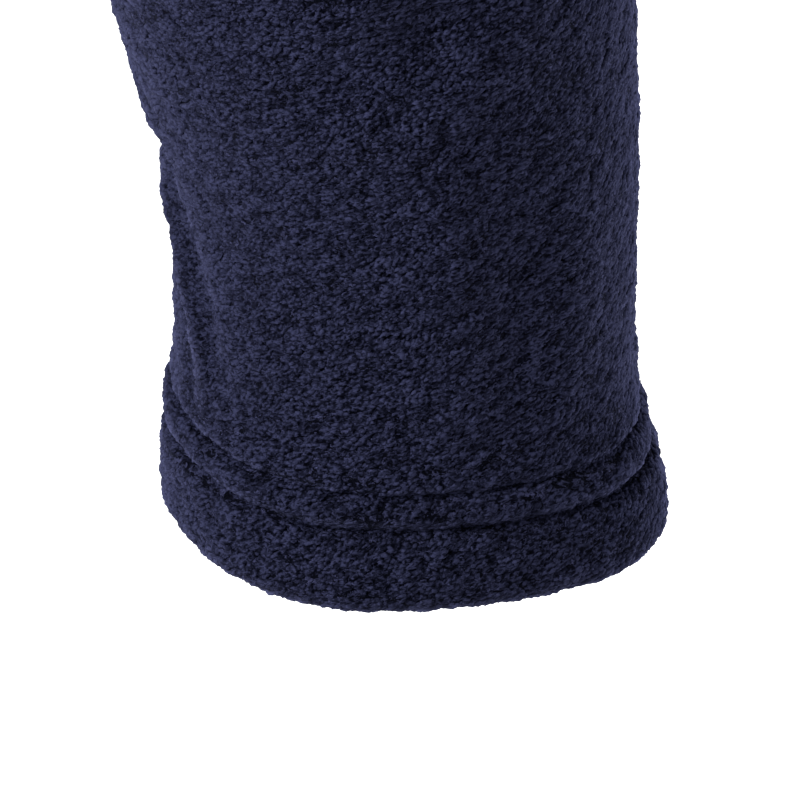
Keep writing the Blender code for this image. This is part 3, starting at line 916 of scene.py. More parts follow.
@dataclass(frozen=True)
class FleeceFinish:
    """Brushed polyester fleece, with painted shade between the clumps, painted light on the fibre tips and a
    painted sheen where seen edge on.
    """

    name: str = "fleece"
    # The first colour is painted shade for the gaps between clumps, the second the cloth in painted light on
    # the tips.
    painted_pit_shade: Colour = (0.0014, 0.0016, 0.0041, 1.0)
    painted_tip_light: Colour = (0.0480, 0.0515, 0.1160, 1.0)
    # Painted sheen: the colour mixed in where the cloth is seen edge on.
    painted_edge_sheen: Colour = (0.0700, 0.0760, 0.1500, 1.0)
    sheen: Colour = (0.55, 0.60, 1.0, 1.0)
    clumps: float = 950.0
    curls: float = 2300.0
    patches: float = 70.0
    relief: float = 0.00030
    # How far the mesh's stored relief darkens its hollows with painted shade.
    mesh_share: float = 0.0

    def make(self, nap: bpy.types.NodeTree) -> bpy.types.Material:
        """The material.

        Args:
            nap: the shared nap group.

        Returns:
            A material whose roughness and bump follow the nap, and whose colour has painted shade in the
            nap's gaps, painted light on its tips and a painted sheen edge on.
        """
        material, sheet, shader = new_material(
            self.name, sheen_weight=0.03, sheen_roughness=0.5, specular_ior_level=0.02
        )
        shader.inputs["Sheen Tint"].default_value = self.sheen
        group = sheet.add("ShaderNodeGroup", {"Clumps": self.clumps, "Curls": self.curls}, node_tree=nap)
        # Painted shade in the gaps and painted light on the tips, by the nap's height.
        painted_tip_light = group.outputs["Painted_Tip_Light"]
        if self.mesh_share > 0.0:
            # Painted shade in the hollows of the cuff's own relief, from its stored height.
            raised = sheet.scaled(sheet.stored("nap"), 2.0 * self.mesh_share, 1.0 - self.mesh_share)
            painted_tip_light = sheet.times(painted_tip_light, raised)
        patchy = sheet.ramp(sheet.noise(sheet.place(), self.patches, 2.0), 0.25, 0.75)
        # Painted tip light, varied by random patches of tone.
        pale = sheet.times(painted_tip_light, sheet.scaled(patchy, 0.30, 0.80))
        # Painted sheen where the cloth is seen edge on, stronger on the lit tips.
        rim = sheet.times(sheet.edge_on(2.5), sheet.scaled(painted_tip_light, 0.7, 0.3))
        colour = sheet.blend(rim, sheet.blend(pale, self.painted_pit_shade, self.painted_tip_light), self.painted_edge_sheen)
        relief = sheet.bumps(group.outputs["Height"], self.relief)
        sheet.shade(shader, colour, sheet.scaled(painted_tip_light, -0.10, 0.98), relief)
        return material


@dataclass(frozen=True)
class ClumpFinish:
    """Curled polyester fibre: a soft navy, with a painted sheen where the cloth is seen edge on."""

    name: str = "fleece_curls"
    # The deep colour is the fibres' own dark and also painted shade low on each clump.
    deep: Colour = (0.0014, 0.0016, 0.0042, 1.0)
    pale: Colour = (0.0305, 0.0335, 0.0750, 1.0)
    # Painted sheen: the colour mixed in where the cloth is seen edge on.
    painted_edge_sheen: Colour = (0.0800, 0.0860, 0.1780, 1.0)
    locks: float = 1200.0
    fibres: float = 2100.0
    relief: float = 0.00030
    slant: float = math.radians(20.0)
    stretch: float = 1.6

    def make(self) -> bpy.types.Material:
        """The material: two noises combed along the slant, with painted shade low on the clumps and painted
        light on their tops.
        """
        material, sheet, shader = new_material(self.name, specular_ior_level=0.01)
        combing = {
            "Vector": sheet.place(),
            "Rotation": (0.0, -self.slant, 0.0),
            "Scale": (self.stretch, self.stretch, 1.0),
        }
        combed = sheet.add("ShaderNodeMapping", combing, vector_type="TEXTURE").outputs[0]
        lock = sheet.ramp(sheet.noise(combed, self.locks, 1.0), 0.32, 0.68)
        fine = sheet.noise(combed, self.fibres, 1.0, 0.6)
        curl = sheet.scaled(sheet.ramp(fine, 0.38, 0.64), 0.75, sheet.times(lock, 0.25))
        # Painted shade: the stored value is low on each clump's underside and on deeper clumps, with a
        # random tone of its own.
        top = sheet.stored("nap")
        fibre = sheet.times(curl, sheet.scaled(top, 1.1, 0.10))
        # Painted sheen where the cloth is seen edge on.
        edge_on = sheet.edge_on(2.2, Normal=sheet.stored("cloth_normal", "Vector"))
        rim = sheet.times(edge_on, sheet.scaled(top, 0.8, 0.1))
        colour = sheet.blend(rim, sheet.blend(fibre, self.deep, self.pale), self.painted_edge_sheen)
        sheet.shade(shader, colour, sheet.scaled(fibre, -0.2, 0.9), sheet.bumps(fine, self.relief))
        return material


@dataclass(frozen=True)
class ThreadFinish:
    """Polyester sewing thread: plain navy with a fine twist."""

    name: str = "sewing_thread"
    colour: Colour = (0.0030, 0.0034, 0.0080, 1.0)
    pale: Colour = (0.0080, 0.0088, 0.0190, 1.0)
    twists: float = 4200.0
    relief: float = 0.0001

    def make(self) -> bpy.types.Material:
        """The material, with a twist from a fine noise."""
        material, sheet, shader = new_material(self.name, specular_ior_level=0.3)
        twist = sheet.noise(sheet.place(), self.twists, 2.0, 0.6)
        colour = sheet.blend(twist, self.colour, self.pale)
        sheet.shade(shader, colour, sheet.scaled(twist, 0.2, 0.5), sheet.bumps(twist, self.relief))
        return material


@dataclass(frozen=True)
class WovenTapeFinish:
    """Zip tape: a fine close weave of navy yarn."""

    name: str = "woven_tape"
    dark: Colour = (0.006, 0.007, 0.016, 1.0)
    light: Colour = (0.020, 0.022, 0.044, 1.0)
    yarns: float = 260.0
    relief: float = 0.0002

    def make(self) -> bpy.types.Material:
        """The material: two crossed sine bands give the yarns over and under."""
        material, sheet, shader = new_material(self.name, specular_ior_level=0.25)
        where = sheet.place()
        across, along = (
            sheet.add("ShaderNodeTexWave", {"Vector": where, "Scale": self.yarns}, bands_direction=way)
            for way in ("X", "Z")
        )
        weave = sheet.times(across.outputs["Fac"], along.outputs["Fac"])
        worn = sheet.times(weave, sheet.maths("ADD", sheet.noise(where, 900.0, 2.0), 0.4))
        colour = sheet.blend(worn, self.dark, self.light)
        sheet.shade(shader, colour, sheet.scaled(worn, -0.2, 0.9), sheet.bumps(weave, self.relief))
        return material


@dataclass(frozen=True)
class HardFinish:
    """Moulded plastic or dark metal: a satin skin, a little rubbed and dusty."""

    name: str
    colour: Colour
    rubbed: Colour
    roughness: float
    metallic: float = 0.0
    grain: float = 2600.0
    relief: float = 0.00005

    def make(self) -> bpy.types.Material:
        """The material: fine grain, with slow patches where it is rubbed."""
        material, sheet, shader = new_material(self.name, specular_ior_level=0.45, metallic=self.metallic)
        where = sheet.place()
        grain = sheet.noise(where, self.grain, 2.0)
        patches = sheet.ramp(sheet.noise(where, 320.0, 3.0), 0.52, 0.74)
        rough = sheet.scaled(sheet.maths("ADD", grain, patches), 0.12, self.roughness)
        colour = sheet.blend(patches, self.colour, self.rubbed)
        sheet.shade(shader, colour, rough, sheet.bumps(grain, self.relief))
        return material


@dataclass
class Finishes:
    """Every material of the jacket, made once."""

    fleece: bpy.types.Material = field(init=False)
    cuff_fleece: bpy.types.Material = field(init=False)
    clumps: bpy.types.Material = field(init=False)
    thread: bpy.types.Material = field(init=False)
    tape: bpy.types.Material = field(init=False)
    teeth: bpy.types.Material = field(init=False)
    metal: bpy.types.Material = field(init=False)

    def __post_init__(self) -> None:
        """Makes the materials."""
        nap = NapEffect().make()
        self.fleece = FleeceFinish().make(nap)
        self.cuff_fleece = FleeceFinish(name="fleece_cuff", mesh_share=0.4).make(nap)
        self.clumps = ClumpFinish().make()
        self.thread = ThreadFinish().make()
        self.tape = WovenTapeFinish().make()
        self.teeth = HardFinish(
            name="moulded_teeth",
            colour=(0.007, 0.0076, 0.0150, 1.0),
            rubbed=(0.016, 0.017, 0.030, 1.0),
            roughness=0.52,
        ).make()
        self.metal = HardFinish(
            name="dark_metal",
            colour=(0.10, 0.105, 0.12, 1.0),
            rubbed=(0.20, 0.205, 0.22, 1.0),
            roughness=0.30,
            metallic=0.85,
        ).make()


# ---------------------------------------------------------------- cloth pieces


@dataclass(frozen=True)
class BodyRows:
    """The levels of the panels' rows: close at the hem's edge and the armhole's ends."""

    metres_a_level: float = 0.64
    hem_step: float = 0.0013
    hem_top: float = 0.045
    lower_rows: int = 88
    armhole_rows: int = 45
    yoke_rows: int = 30
    yoke_top: float = 0.994
    neck: tuple[float, ...] = (0.9965, 0.9985, 1.0)

    def levels(self) -> Array:
        """The levels, as one column."""
        rim = HEM_WALL / 2.0 * RIM_SHARES / self.metres_a_level
        hem = np.arange(rim[-1] + self.hem_step, self.hem_top, self.hem_step)
        lower = np.linspace(self.hem_top, ARMHOLE.bottom, self.lower_rows)[:-1]
        turn = np.linspace(math.pi, 0.0, self.armhole_rows)
        armhole = ARMHOLE.middle + ARMHOLE.reach * np.cos(turn)
        yoke = np.linspace(ARMHOLE.top, self.yoke_top, self.yoke_rows)[1:]
        return np.concatenate([rim, hem, lower, armhole, yoke, self.neck])[:, None]


BODY_LEVELS = BodyRows().levels()


@dataclass
class BodyPanel:
    """A front or the back: body cloth between two edges, from the hem to the neckline.

    The zip edge is 1 where the zip is at the low edge, -1 at the high one, 0 on the back.
    """

    name: str
    low: Array
    high: Array
    columns: int
    edges: Finish
    zip_edge: int = 0
    fold_gain: float = 1.5
    foot_calm: float = 0.6
    foot_reach: float = 0.03
    plain_edge: float = 0.0105
    plain_step: float = 0.002
    sewn: list[SewnLine] = field(init=False)

    def build(self) -> bpy.types.Object:
        """The panel's mesh: its form, its folds, its hem and its edges."""
        level = BODY_LEVELS
        radius = (BODY_RINGS.column("half_width", level) + BODY_RINGS.column("front", level)) / 2.0
        width = (self.high - self.low) * radius
        across = spread(width, self.columns, WALL / 2.0)
        angle = self.low + (self.high - self.low) * across / width
        points, normals = BODY.point(angle, level), BODY.normal(angle, level)
        first, last, foot, _ = distances(points)
        lift = BODY_DRAPE.lift(np.degrees(angle), points[..., 2], points)
        lift = self.fold_gain * lift * (1.0 - self.foot_calm * bump(foot, self.foot_reach))
        lift = lift + BODY_SEWING.lift(foot)
        wall = BODY_SEWING.wall(foot)
        if self.zip_edge:
            from_zip = first if self.zip_edge > 0 else last
            wall = WALL + (wall - WALL) * eased((from_zip - self.plain_edge) / self.plain_step)
            lift = ZIP_SEWING.applied(lift, from_zip)
        outer, inner = finished(points, normals, lift, wall, self.edges)
        self.sewn = [sewn_line(outer, foot, row) for row in BODY_SEWING.rows]
        if self.zip_edge:
            turned = outer.swapaxes(0, 1)[:: self.zip_edge]
            self.sewn.append(sewn_line(turned, from_zip.T[:: self.zip_edge], ZIP_SEWING.row))
        return walled(self.name, outer, inner)


@dataclass
class Body:
    """The two fronts and the back."""

    finishes: Finishes
    front_columns: int = 54
    back_columns: int = 112
    lines: list[SewnLine] = field(default_factory=list)

    def panels(self) -> tuple[tuple[BodyPanel, str, tuple[float, float], float], ...]:
        """Each panel with its node, its flat size and the area that shows."""
        level, side = BODY_LEVELS, math.pi / 2.0
        start = BODY.angle_at(ZIP_EDGE, level)
        front_seam = side + SEAM_LAP / 2.0 / BODY_RINGS.column("front", level)
        back_seam = side - SEAM_LAP / 2.0 / BODY_RINGS.column("back", level)
        end = np.minimum(side - ARMHOLE.opening(level), front_seam)
        rear = np.maximum(side + ARMHOLE.opening(level), back_seam)
        left = Finish(Edge.FREE, Edge.SEAM, Edge.FREE, Edge.SEAM)
        right = Finish(Edge.SEAM, Edge.FREE, Edge.FREE, Edge.SEAM)
        both = Finish(Edge.SEAM, Edge.SEAM, Edge.FREE, Edge.SEAM)
        front_left = BodyPanel("front_left_cloth", start, end, self.front_columns, left, 1)
        front_right = BodyPanel("front_right_cloth", -end, -start, self.front_columns, right, -1)
        back = BodyPanel("back_cloth", rear, TWO_PI - rear, self.back_columns, both)
        return (
            (front_left, "front_left", (0.29, 0.66), 0.162),
            (front_right, "front_right", (0.29, 0.66), 0.162),
            (back, "back", (0.57, 0.67), 0.330),
        )

    def build(self) -> list[bpy.types.Object]:
        """Builds and dresses the three panels."""
        made = []
        for panel, node, flat, area in self.panels():
            obj = panel.build()
            obj.data.materials.append(self.finishes.fleece)
            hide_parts(node)
            self.lines += panel.sewn
            made.append(obj)
        return made


@dataclass(frozen=True)
class SleeveForm:
    """The smooth form of the left sleeve. Turn 0 is its outer side, 90 degrees its front."""

    cuff_z: float = -0.6553
    cap_pull: float = 0.75
    cap_slope: float = math.radians(44.0)
    axis_rises: tuple[float, float] = (0.335, 0.380)
    swell_reach: float = 14.0
    swells: tuple[tuple[float, float], ...] = (
        (18.0, 0.0026),
        (36.0, 0.0022),
        (72.0, -0.0006),
        (108.0, 0.0016),
        (126.0, 0.0022),
        (144.0, 0.0015),
        (162.0, 0.0011),
    )

    def ring(self, turn: Array, rise: Array) -> Array:
        """Points on the sleeve's rings.

        An oval of half widths across and deep, about a centre, tilted about Y and
        pitched about X. The hem's swells are bells round the cuff, times the sway.

        Args:
            turn: angles in radians.
            rise: metres above the cuff, which broadcast with the turns.

        Returns:
            Points, with x, y and z in the last axis.
        """
        read = {name: SLEEVE_RINGS.column(name, rise) for name in SLEEVE_RINGS.names[1:]}
        tilt, pitch = np.radians(read["tilt"]), np.radians(read["pitch"])
        swell = np.zeros(np.shape(turn))
        for angle, out in self.swells:
            away = (np.degrees(turn) - angle + 180.0) % 360.0 - 180.0
            swell = swell + out * bump(away, self.swell_reach)
        swell = swell * read["sway"]
        out = (read["across"] + swell) * np.cos(turn)
        ahead = (read["deep"] + swell) * np.sin(turn)
        x = read["x"] + out * np.cos(tilt)
        y = read["y"] - ahead * np.cos(pitch)
        z = self.cuff_z + rise + out * np.sin(tilt) - ahead * np.sin(pitch)
        return np.stack([x, y, z], axis=-1)

    def grid(self, turn: Array, rises: Array, cap_steps: int) -> tuple[Array, Array]:
        """The tube and its cap, which runs in a Hermite curve from the top ring to the armhole.

        Args:
            turn: angles in radians, one for each column.
            rises: metres above the cuff, one for each row of the tube.
            cap_steps: rows of the cap.

        Returns:
            Points and unit outward normals.
        """
        tube = self.ring(turn[None, :], rises[:, None])
        seam, seam_normal = ARMHOLE.edge(turn)
        centres = self.ring(turn[None, :], np.array(self.axis_rises)[:, None]).mean(axis=1)
        arrive = unit(centres[0] - centres[1])
        leave = np.array([math.cos(self.cap_slope), 0.0, -math.sin(self.cap_slope)])
        top = tube[-1]
        t = (np.arange(1, cap_steps + 1) / cap_steps)[:, None, None]
        w = 1.0 - t
        reach = np.linalg.norm(top - seam, axis=-1, keepdims=True) * self.cap_pull
        cap = (2.0 * w**3 - 3.0 * w**2 + 1.0) * seam + (w**3 - 2.0 * w**2 + w) * leave * reach
        cap = cap + (3.0 * w**2 - 2.0 * w**3) * top + (w**3 - w**2) * arrive * reach
        points = np.concatenate([tube, cap])
        around = np.roll(points, -1, axis=1) - np.roll(points, 1, axis=1)
        normal = unit(np.cross(np.gradient(points, axis=0), around))
        normal[-1] = seam_normal
        return points, normal


@dataclass
class Sleeve:
    """One sleeve, from its twin-stitched cuff to the armhole.

    Where the stride is over 1 the inner face has one column for so many outer ones,
    and only the kept rows. Spans are a start and a reach in metres up the sleeve.
    """

    side: Side
    drape: Drape
    turns: Array
    rises: Array
    cap_steps: int
    stride: int = 1
    nap_height: float = 0.0
    fold_span: tuple[float, float] = (0.004, 0.02)
    cap_puff: float = 0.0025
    cap_crest: float = 0.030
    nap_squash: tuple[float, float, float] = (0.8, 0.8, 1.0)
    nap_noises: tuple[tuple[float, float, int], ...] = ((1.0, 0.0013, 3), (0.7, 0.0007, 4), (0.3, 0.0040, 5))
    nap_span: tuple[float, float] = (0.105, 0.02)
    hem_rows: tuple[int, ...] = (0, 2, 4, 22, 31, 34)
    tube_stride: int = 9
    cap_stride: int = 3
    cap_rows: int = 30
    form: SleeveForm = field(default_factory=SleeveForm)
    outer: Array = field(init=False)
    from_edge: Array = field(init=False)
    sewn: list[SewnLine] = field(init=False)

    def build(self) -> bpy.types.Object:
        """The sleeve's mesh, mirrored for the right side."""
        points, normals = self.form.grid(self.turns, self.rises, self.cap_steps)
        _, _, foot, head = distances(points)
        heights = foot.mean(axis=1, keepdims=True) * np.ones_like(foot)
        nap = self.relief(points, heights) if self.nap_height > 0.0 else np.zeros(foot.shape)
        lift = self.lift(points, heights, foot, head) + self.nap_height * nap
        edges = Finish(Edge.FREE, Edge.FREE, Edge.FREE, Edge.SEAM)
        outer, inner = finished(points, normals, lift, CUFF_SEWING.wall(foot), edges, tube=True)
        # As columns run from the outer side to the front, the left sleeve's are turned about.
        if self.side is Side.LEFT:
            outer, inner, nap = outer[:, ::-1], inner[:, ::-1], nap[:, ::-1]
        else:
            flip = np.array([-1.0, 1.0, 1.0])
            outer, inner = outer * flip, inner * flip
        self.outer = np.concatenate([inner[RIM_WRAP:0:-1], outer])
        self.from_edge = np.concatenate([foot[RIM_WRAP:0:-1], foot])
        loop = np.concatenate([outer, outer[:, :1]], axis=1)
        loop = loop - grid_normals(loop) * self.nap_height
        away = np.concatenate([foot, foot[:, :1]], axis=1)
        self.sewn = [sewn_line(loop, away, row) for row in CUFF_SEWING.rows]
        return self.mesh(outer, inner, nap)

    def lift(self, points: Array, heights: Array, foot: Array, head: Array) -> Array:
        """The folds, the hem's sewing, and a low crest over the shoulder, cos(turn / 2)^4 wide.

        Args:
            points: the smooth form.
            heights: metres up the sleeve, the same all round a row.
            foot: metres from the cuff's edge.
            head: metres from the armhole.

        Returns:
            Metres outward.
        """
        degrees = np.degrees(self.turns)[None, :] * np.ones_like(foot)
        start, reach = self.fold_span
        folds = self.drape.lift(degrees, heights, points) * eased((heights - start) / reach)
        crest = self.cap_puff * bump(head - self.cap_crest, self.cap_crest)
        return folds + CUFF_SEWING.lift(foot) + crest * np.cos(self.turns / 2.0) ** 4

    def relief(self, points: Array, heights: Array) -> Array:
        """Clumps of nap as three sizes of noise, wider than high, from about -1 to 1."""
        squashed = points * np.array(self.nap_squash)
        clumps = sum(share * soft_noise(squashed, size, seed) for share, size, seed in self.nap_noises)
        start, reach = self.nap_span
        return clumps / 1.5 * (1.0 - 0.9 * eased((heights - start) / reach))

    def mesh(self, outer: Array, inner: Array, nap: Array) -> bpy.types.Object:
        """The closed wall between both faces, with the nap stored from 0 to 1 for each vertex to paint shade
        in its hollows.
        """
        rows, columns = nap.shape
        kept = np.arange(rows)
        faces = shell_faces(rows, columns, True)
        if self.stride > 1:
            tube = np.arange(0, rows - self.cap_steps, self.tube_stride)
            cap = np.arange(rows - self.cap_rows, rows, self.cap_stride)
            kept = np.unique(np.concatenate([self.hem_rows, tube, cap, [rows - 1]]))
            faces = thinned_shell_faces(rows, columns, kept, self.stride)
        under = inner[kept][:, :: self.stride].reshape(-1, 3)
        name = f"sleeve_{self.side.name.lower()}_cloth"
        obj = mesh_object(name, np.concatenate([outer.reshape(-1, 3), under]), faces)
        # The relief's height, stored for the material to paint shade in its hollows.
        painted_light_share = np.concatenate([nap.reshape(-1), np.zeros(len(under))]) * 1.1 + 0.5
        point_values(obj, "nap", np.clip(painted_light_share, 0.0, 1.0))
        return obj


def twenty_sided_ball() -> tuple[Array, NDArray[np.int64]]:
    """A ball of twelve corners, two of them poles, and twenty three-cornered faces."""
    turn = np.arange(5) * TWO_PI / 5.0
    level, wide = 1.0 / math.sqrt(5.0), 2.0 / math.sqrt(5.0)
    rings = [
        np.stack([wide * np.cos(at), wide * np.sin(at), np.full(5, height)], axis=-1)
        for at, height in ((turn, -level), (turn + math.pi / 5.0, level))
    ]
    corners = np.concatenate([*rings, [[0.0, 0.0, -1.0], [0.0, 0.0, 1.0]]])
    k = np.arange(5)
    after = (k + 1) % 5
    foot, head = np.full(5, 10), np.full(5, 11)
    faces = (k, after, k + 5), (after, after + 5, k + 5), (after, k, foot), (k + 5, after + 5, head)
    return corners, np.concatenate([np.stack(face, axis=-1) for face in faces])


@dataclass(frozen=True)
class Spots:
    """Places on a grid of cloth, as counts of columns across it and rows along it."""

    across: Array
    along: Array
    size: tuple[int, ...]

    @property
    def cell(self) -> tuple[NDArray[np.int64], NDArray[np.int64]]:
        """The row and the column at which each place's cell begins."""
        row = np.minimum(self.along.astype(np.int64), self.size[0] - 2)
        return row, np.minimum(self.across.astype(np.int64), self.size[1] - 2)

    def read(self, grid: Array) -> Array:
        """A grid's values at the places, between the four corners of their cells."""
        row, column = self.cell
        u, v = (self.across - column)[:, None], (self.along - row)[:, None]
        low = grid[row, column] * (1.0 - u) + grid[row, column + 1] * u
        high = grid[row + 1, column] * (1.0 - u) + grid[row + 1, column + 1] * u
        return low * (1.0 - v) + high * v

    def inside(self, columns: float, rows: float) -> Array:
        """1 on the grid, easing to 0 over its first, last and highest lines."""
        sides = np.minimum(self.across, self.size[1] - 1 - self.across) / columns
        return eased(np.minimum(sides, (self.size[0] - 1 - self.along) / rows))[:, None]


@dataclass(frozen=True)
class ClumpPile:
    """Clumps of curled fibre that stand close together on a grid of cloth, in layers."""

    per_layer: int = 9000
    layers: int = 3
    first_seed: int = 71
    golden: tuple[float, float] = (0.7548776662, 0.5698402910)
    shuffle: float = 0.35
    half_length: tuple[float, float] = (0.00078, 0.00118)
    half_width: tuple[float, float] = (0.00044, 0.00064)
    half_height: tuple[float, float] = (0.00028, 0.00046)
    uneven: float = 0.22
    lean: float = math.radians(22.0)
    swing: float = 0.45
    stray: float = 0.22
    squash: tuple[float, float, float] = (0.5, 0.5, 1.0)
    climb: float = 0.34
    gather: float = 0.00036
    lowest: float = -0.5
    sunk: float = 0.00006
    groove_sink: float = 0.00030
    groove_shares: tuple[float, float] = (1.0, 0.8)
    groove_widths: tuple[float, float] = (0.0006, 0.0005)
    fade_depth: float = 0.0007
    fade_columns: float = 7.0
    fade_rows: float = 16.0
    tone: float = 0.15

    def build(self, outer: Array, from_edge: Array, material: bpy.types.Material) -> list[bpy.types.Object]:
        """Builds the layers, each a closed mesh of so many clumps.

        Args:
            outer: the cloth's outer grid, by rows and columns.
            from_edge: each point's distance from the hem's edge.
            material: the clumps' material.

        Returns:
            The layers.
        """
        ball, sides = twenty_sided_ball()
        made = []
        for layer in range(self.layers):
            rng = np.random.default_rng(self.first_seed + layer)
            spots = self.spots(outer, layer, rng)
            place = spots.read(outer)
            up = unit(spots.read(grid_normals(outer)))
            noise_at = place * np.array(self.squash)
            noise_at[:, 2] -= self.climb * place[:, 0]
            raised = soft_noise(noise_at, 0.0014, 3) + 0.2 * soft_noise(noise_at, 0.0040, 4)
            raised = np.maximum(raised, self.lowest)[:, None]
            sink = self.sink(spots, spots.read(from_edge[..., None]), noise_at)
            side = np.gradient(outer, axis=1)[spots.cell]
            side = unit(side - up * (side * up).sum(axis=-1, keepdims=True))
            middle = place + up * (self.gather * raised - sink)
            points = self.bodies(middle, side, up, noise_at, ball, rng)
            faces = (np.arange(self.per_layer)[:, None, None] * len(ball) + sides).reshape(-1, 3)
            obj = mesh_object(f"cuff_nap_{layer + 1}", points.reshape(-1, 3), [faces])
            tone = self.tone * rng.standard_normal((self.per_layer, 1))
            # Stored for painted shade: lower on each clump's underside and on clumps that sit deeper; the
            # random tone is real.
            point_values(obj, "nap", np.clip(0.50 + 0.45 * ball[:, 2] + 0.50 * raised + tone, 0.0, 1.0))
            point_vectors(obj, "cloth_normal", np.repeat(up, len(ball), axis=0))
            obj.data.materials.append(material)
            made.append(obj)
        return made

    def spots(self, outer: Array, layer: int, rng: np.random.Generator) -> Spots:
        """Even places for a layer's clumps.

        Clump n is at the shares n / 1.3247 and n / 1.3247^2 of the grid, without their
        whole parts, and a little shifted. Rows count by their real distances.

        Args:
            outer: the cloth's outer grid.
            layer: which layer.
            rng: the layer's random numbers.

        Returns:
            The places.
        """
        steps = np.linalg.norm(np.diff(outer, axis=0), axis=-1).mean(axis=1)
        reach = np.concatenate([[0.0], np.cumsum(steps) / steps.sum()])
        number = np.arange(self.per_layer) * self.layers + layer
        shifts = self.shuffle * rng.uniform(-1.0, 1.0, (2, self.per_layer))
        shifts = shifts / math.sqrt(self.per_layer * self.layers)
        across, along = ((number * self.golden[k] + shifts[k]) % 1.0 for k in range(2))
        rows = np.interp(along, reach, np.arange(len(reach)))
        return Spots(across * (outer.shape[1] - 1), rows, outer.shape)

    def sink(self, spots: Spots, edge: Array, noise_at: Array) -> Array:
        """How deep clumps stand in the cloth: more in the sewn grooves and at the pile's borders.

        Args:
            spots: the clumps' places on the grid.
            edge: their distances from the hem's edge.
            noise_at: where the noise that varies the grooves is read.

        Returns:
            Metres inward.
        """
        held = np.clip(0.75 + 0.6 * soft_noise(noise_at, 0.0060, 12)[:, None], 0.0, 1.0)
        sizes = zip(CUFF_SEWING.rows, self.groove_shares, self.groove_widths)
        groove = sum(share * bump(edge - row, width) for row, share, width in sizes)
        border = 1.0 - spots.inside(self.fade_columns, self.fade_rows)
        return self.sunk + self.groove_sink * groove * held + self.fade_depth * border

    def bodies(
        self, middle: Array, side: Array, up: Array, noise_at: Array, ball: Array, rng: np.random.Generator
    ) -> Array:
        """The corners of every clump, a ball stretched along the cloth and a little uneven.

        A clump turns about the cloth's normal by the lean, a swing that it shares with
        its neighbours through a noise, and a stray of its own.

        Args:
            middle: the clumps' middles.
            side: unit directions across the cloth.
            up: the cloth's unit normals.
            noise_at: where the shared noise is read.
            ball: the corners of a round clump of radius 1.
            rng: the layer's random numbers.

        Returns:
            Points, by clump and corner.
        """
        count = len(middle)
        lock = soft_noise(noise_at, 0.0030, 8)[:, None]
        turn = self.lean + self.swing * lock + self.stray * rng.standard_normal((count, 1))
        ahead = side * np.cos(turn) + np.cross(up, side) * np.sin(turn)
        corners = ball * (1.0 + self.uneven * rng.uniform(-1.0, 1.0, (count, len(ball), 1)))
        ways = (ahead, self.half_length), (np.cross(up, ahead), self.half_width), (up, self.half_height)
        points = middle[:, None]
        for k, (way, sizes) in enumerate(ways):
            reach = way * rng.uniform(*sizes, (count, 1))
            points = points + corners[..., k : k + 1] * reach[:, None]
        return points


@dataclass
class Sleeves:
    """Both sleeves. The front of the left cuff carries its pile as clumps, over a raised nap."""

    finishes: Finishes
    lines: list[SewnLine] = field(default_factory=list)
    top: float = 0.380

    def rises(self, step: float, close_top: float, plain_foot: float, plain_rows: int) -> Array:
        """Heights of the tube's rows: a rounded rim, close rows, then plain ones to the cap.

        Args:
            step: metres between close rows.
            close_top: where the close rows end.
            plain_foot: where the plain rows begin.
            plain_rows: how many plain rows there are.

        Returns:
            Metres above the cuff's edge.
        """
        rim = HEM_WALL / 2.0 * RIM_SHARES
        close = np.arange(rim[-1] + step, close_top, step)
        return np.concatenate([rim, close, np.linspace(plain_foot, self.top, plain_rows)])

    def build(self) -> list[bpy.types.Object]:
        """Builds and dresses the sleeves, and the pile of the left cuff."""
        near = np.radians(np.linspace(-12.0, 192.0, 161))
        far = np.radians(np.linspace(192.0, 348.0, 57)[1:-1])
        plain_rows, stride = 34, 4
        turns = np.concatenate([near, far])
        turns = turns[: len(turns) - len(turns) % stride]
        rises = self.rises(0.0006, 0.108, 0.110, plain_rows)
        left = Sleeve(Side.LEFT, LEFT_SLEEVE_DRAPE, turns, rises, 12, stride, 0.00030)
        piled = slice(0, len(rises) - plain_rows + RIM_WRAP), slice(len(turns) - len(near), None)
        turns = np.linspace(0.0, TWO_PI, 96, endpoint=False)
        right = Sleeve(Side.RIGHT, RIGHT_SLEEVE_DRAPE, turns, self.rises(0.0012, 0.026, 0.028, 92), 16)
        made = []
        cloths = self.finishes.cuff_fleece, self.finishes.fleece
        for sleeve, node, cloth in zip((left, right), ("sleeve_left", "sleeve_right"), cloths):
            obj = sleeve.build()
            obj.data.materials.append(cloth)
            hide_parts(node)
            self.lines += sleeve.sewn
            made.append(obj)
        made += ClumpPile().build(left.outer[piled], left.from_edge[piled], self.finishes.clumps)
        return made


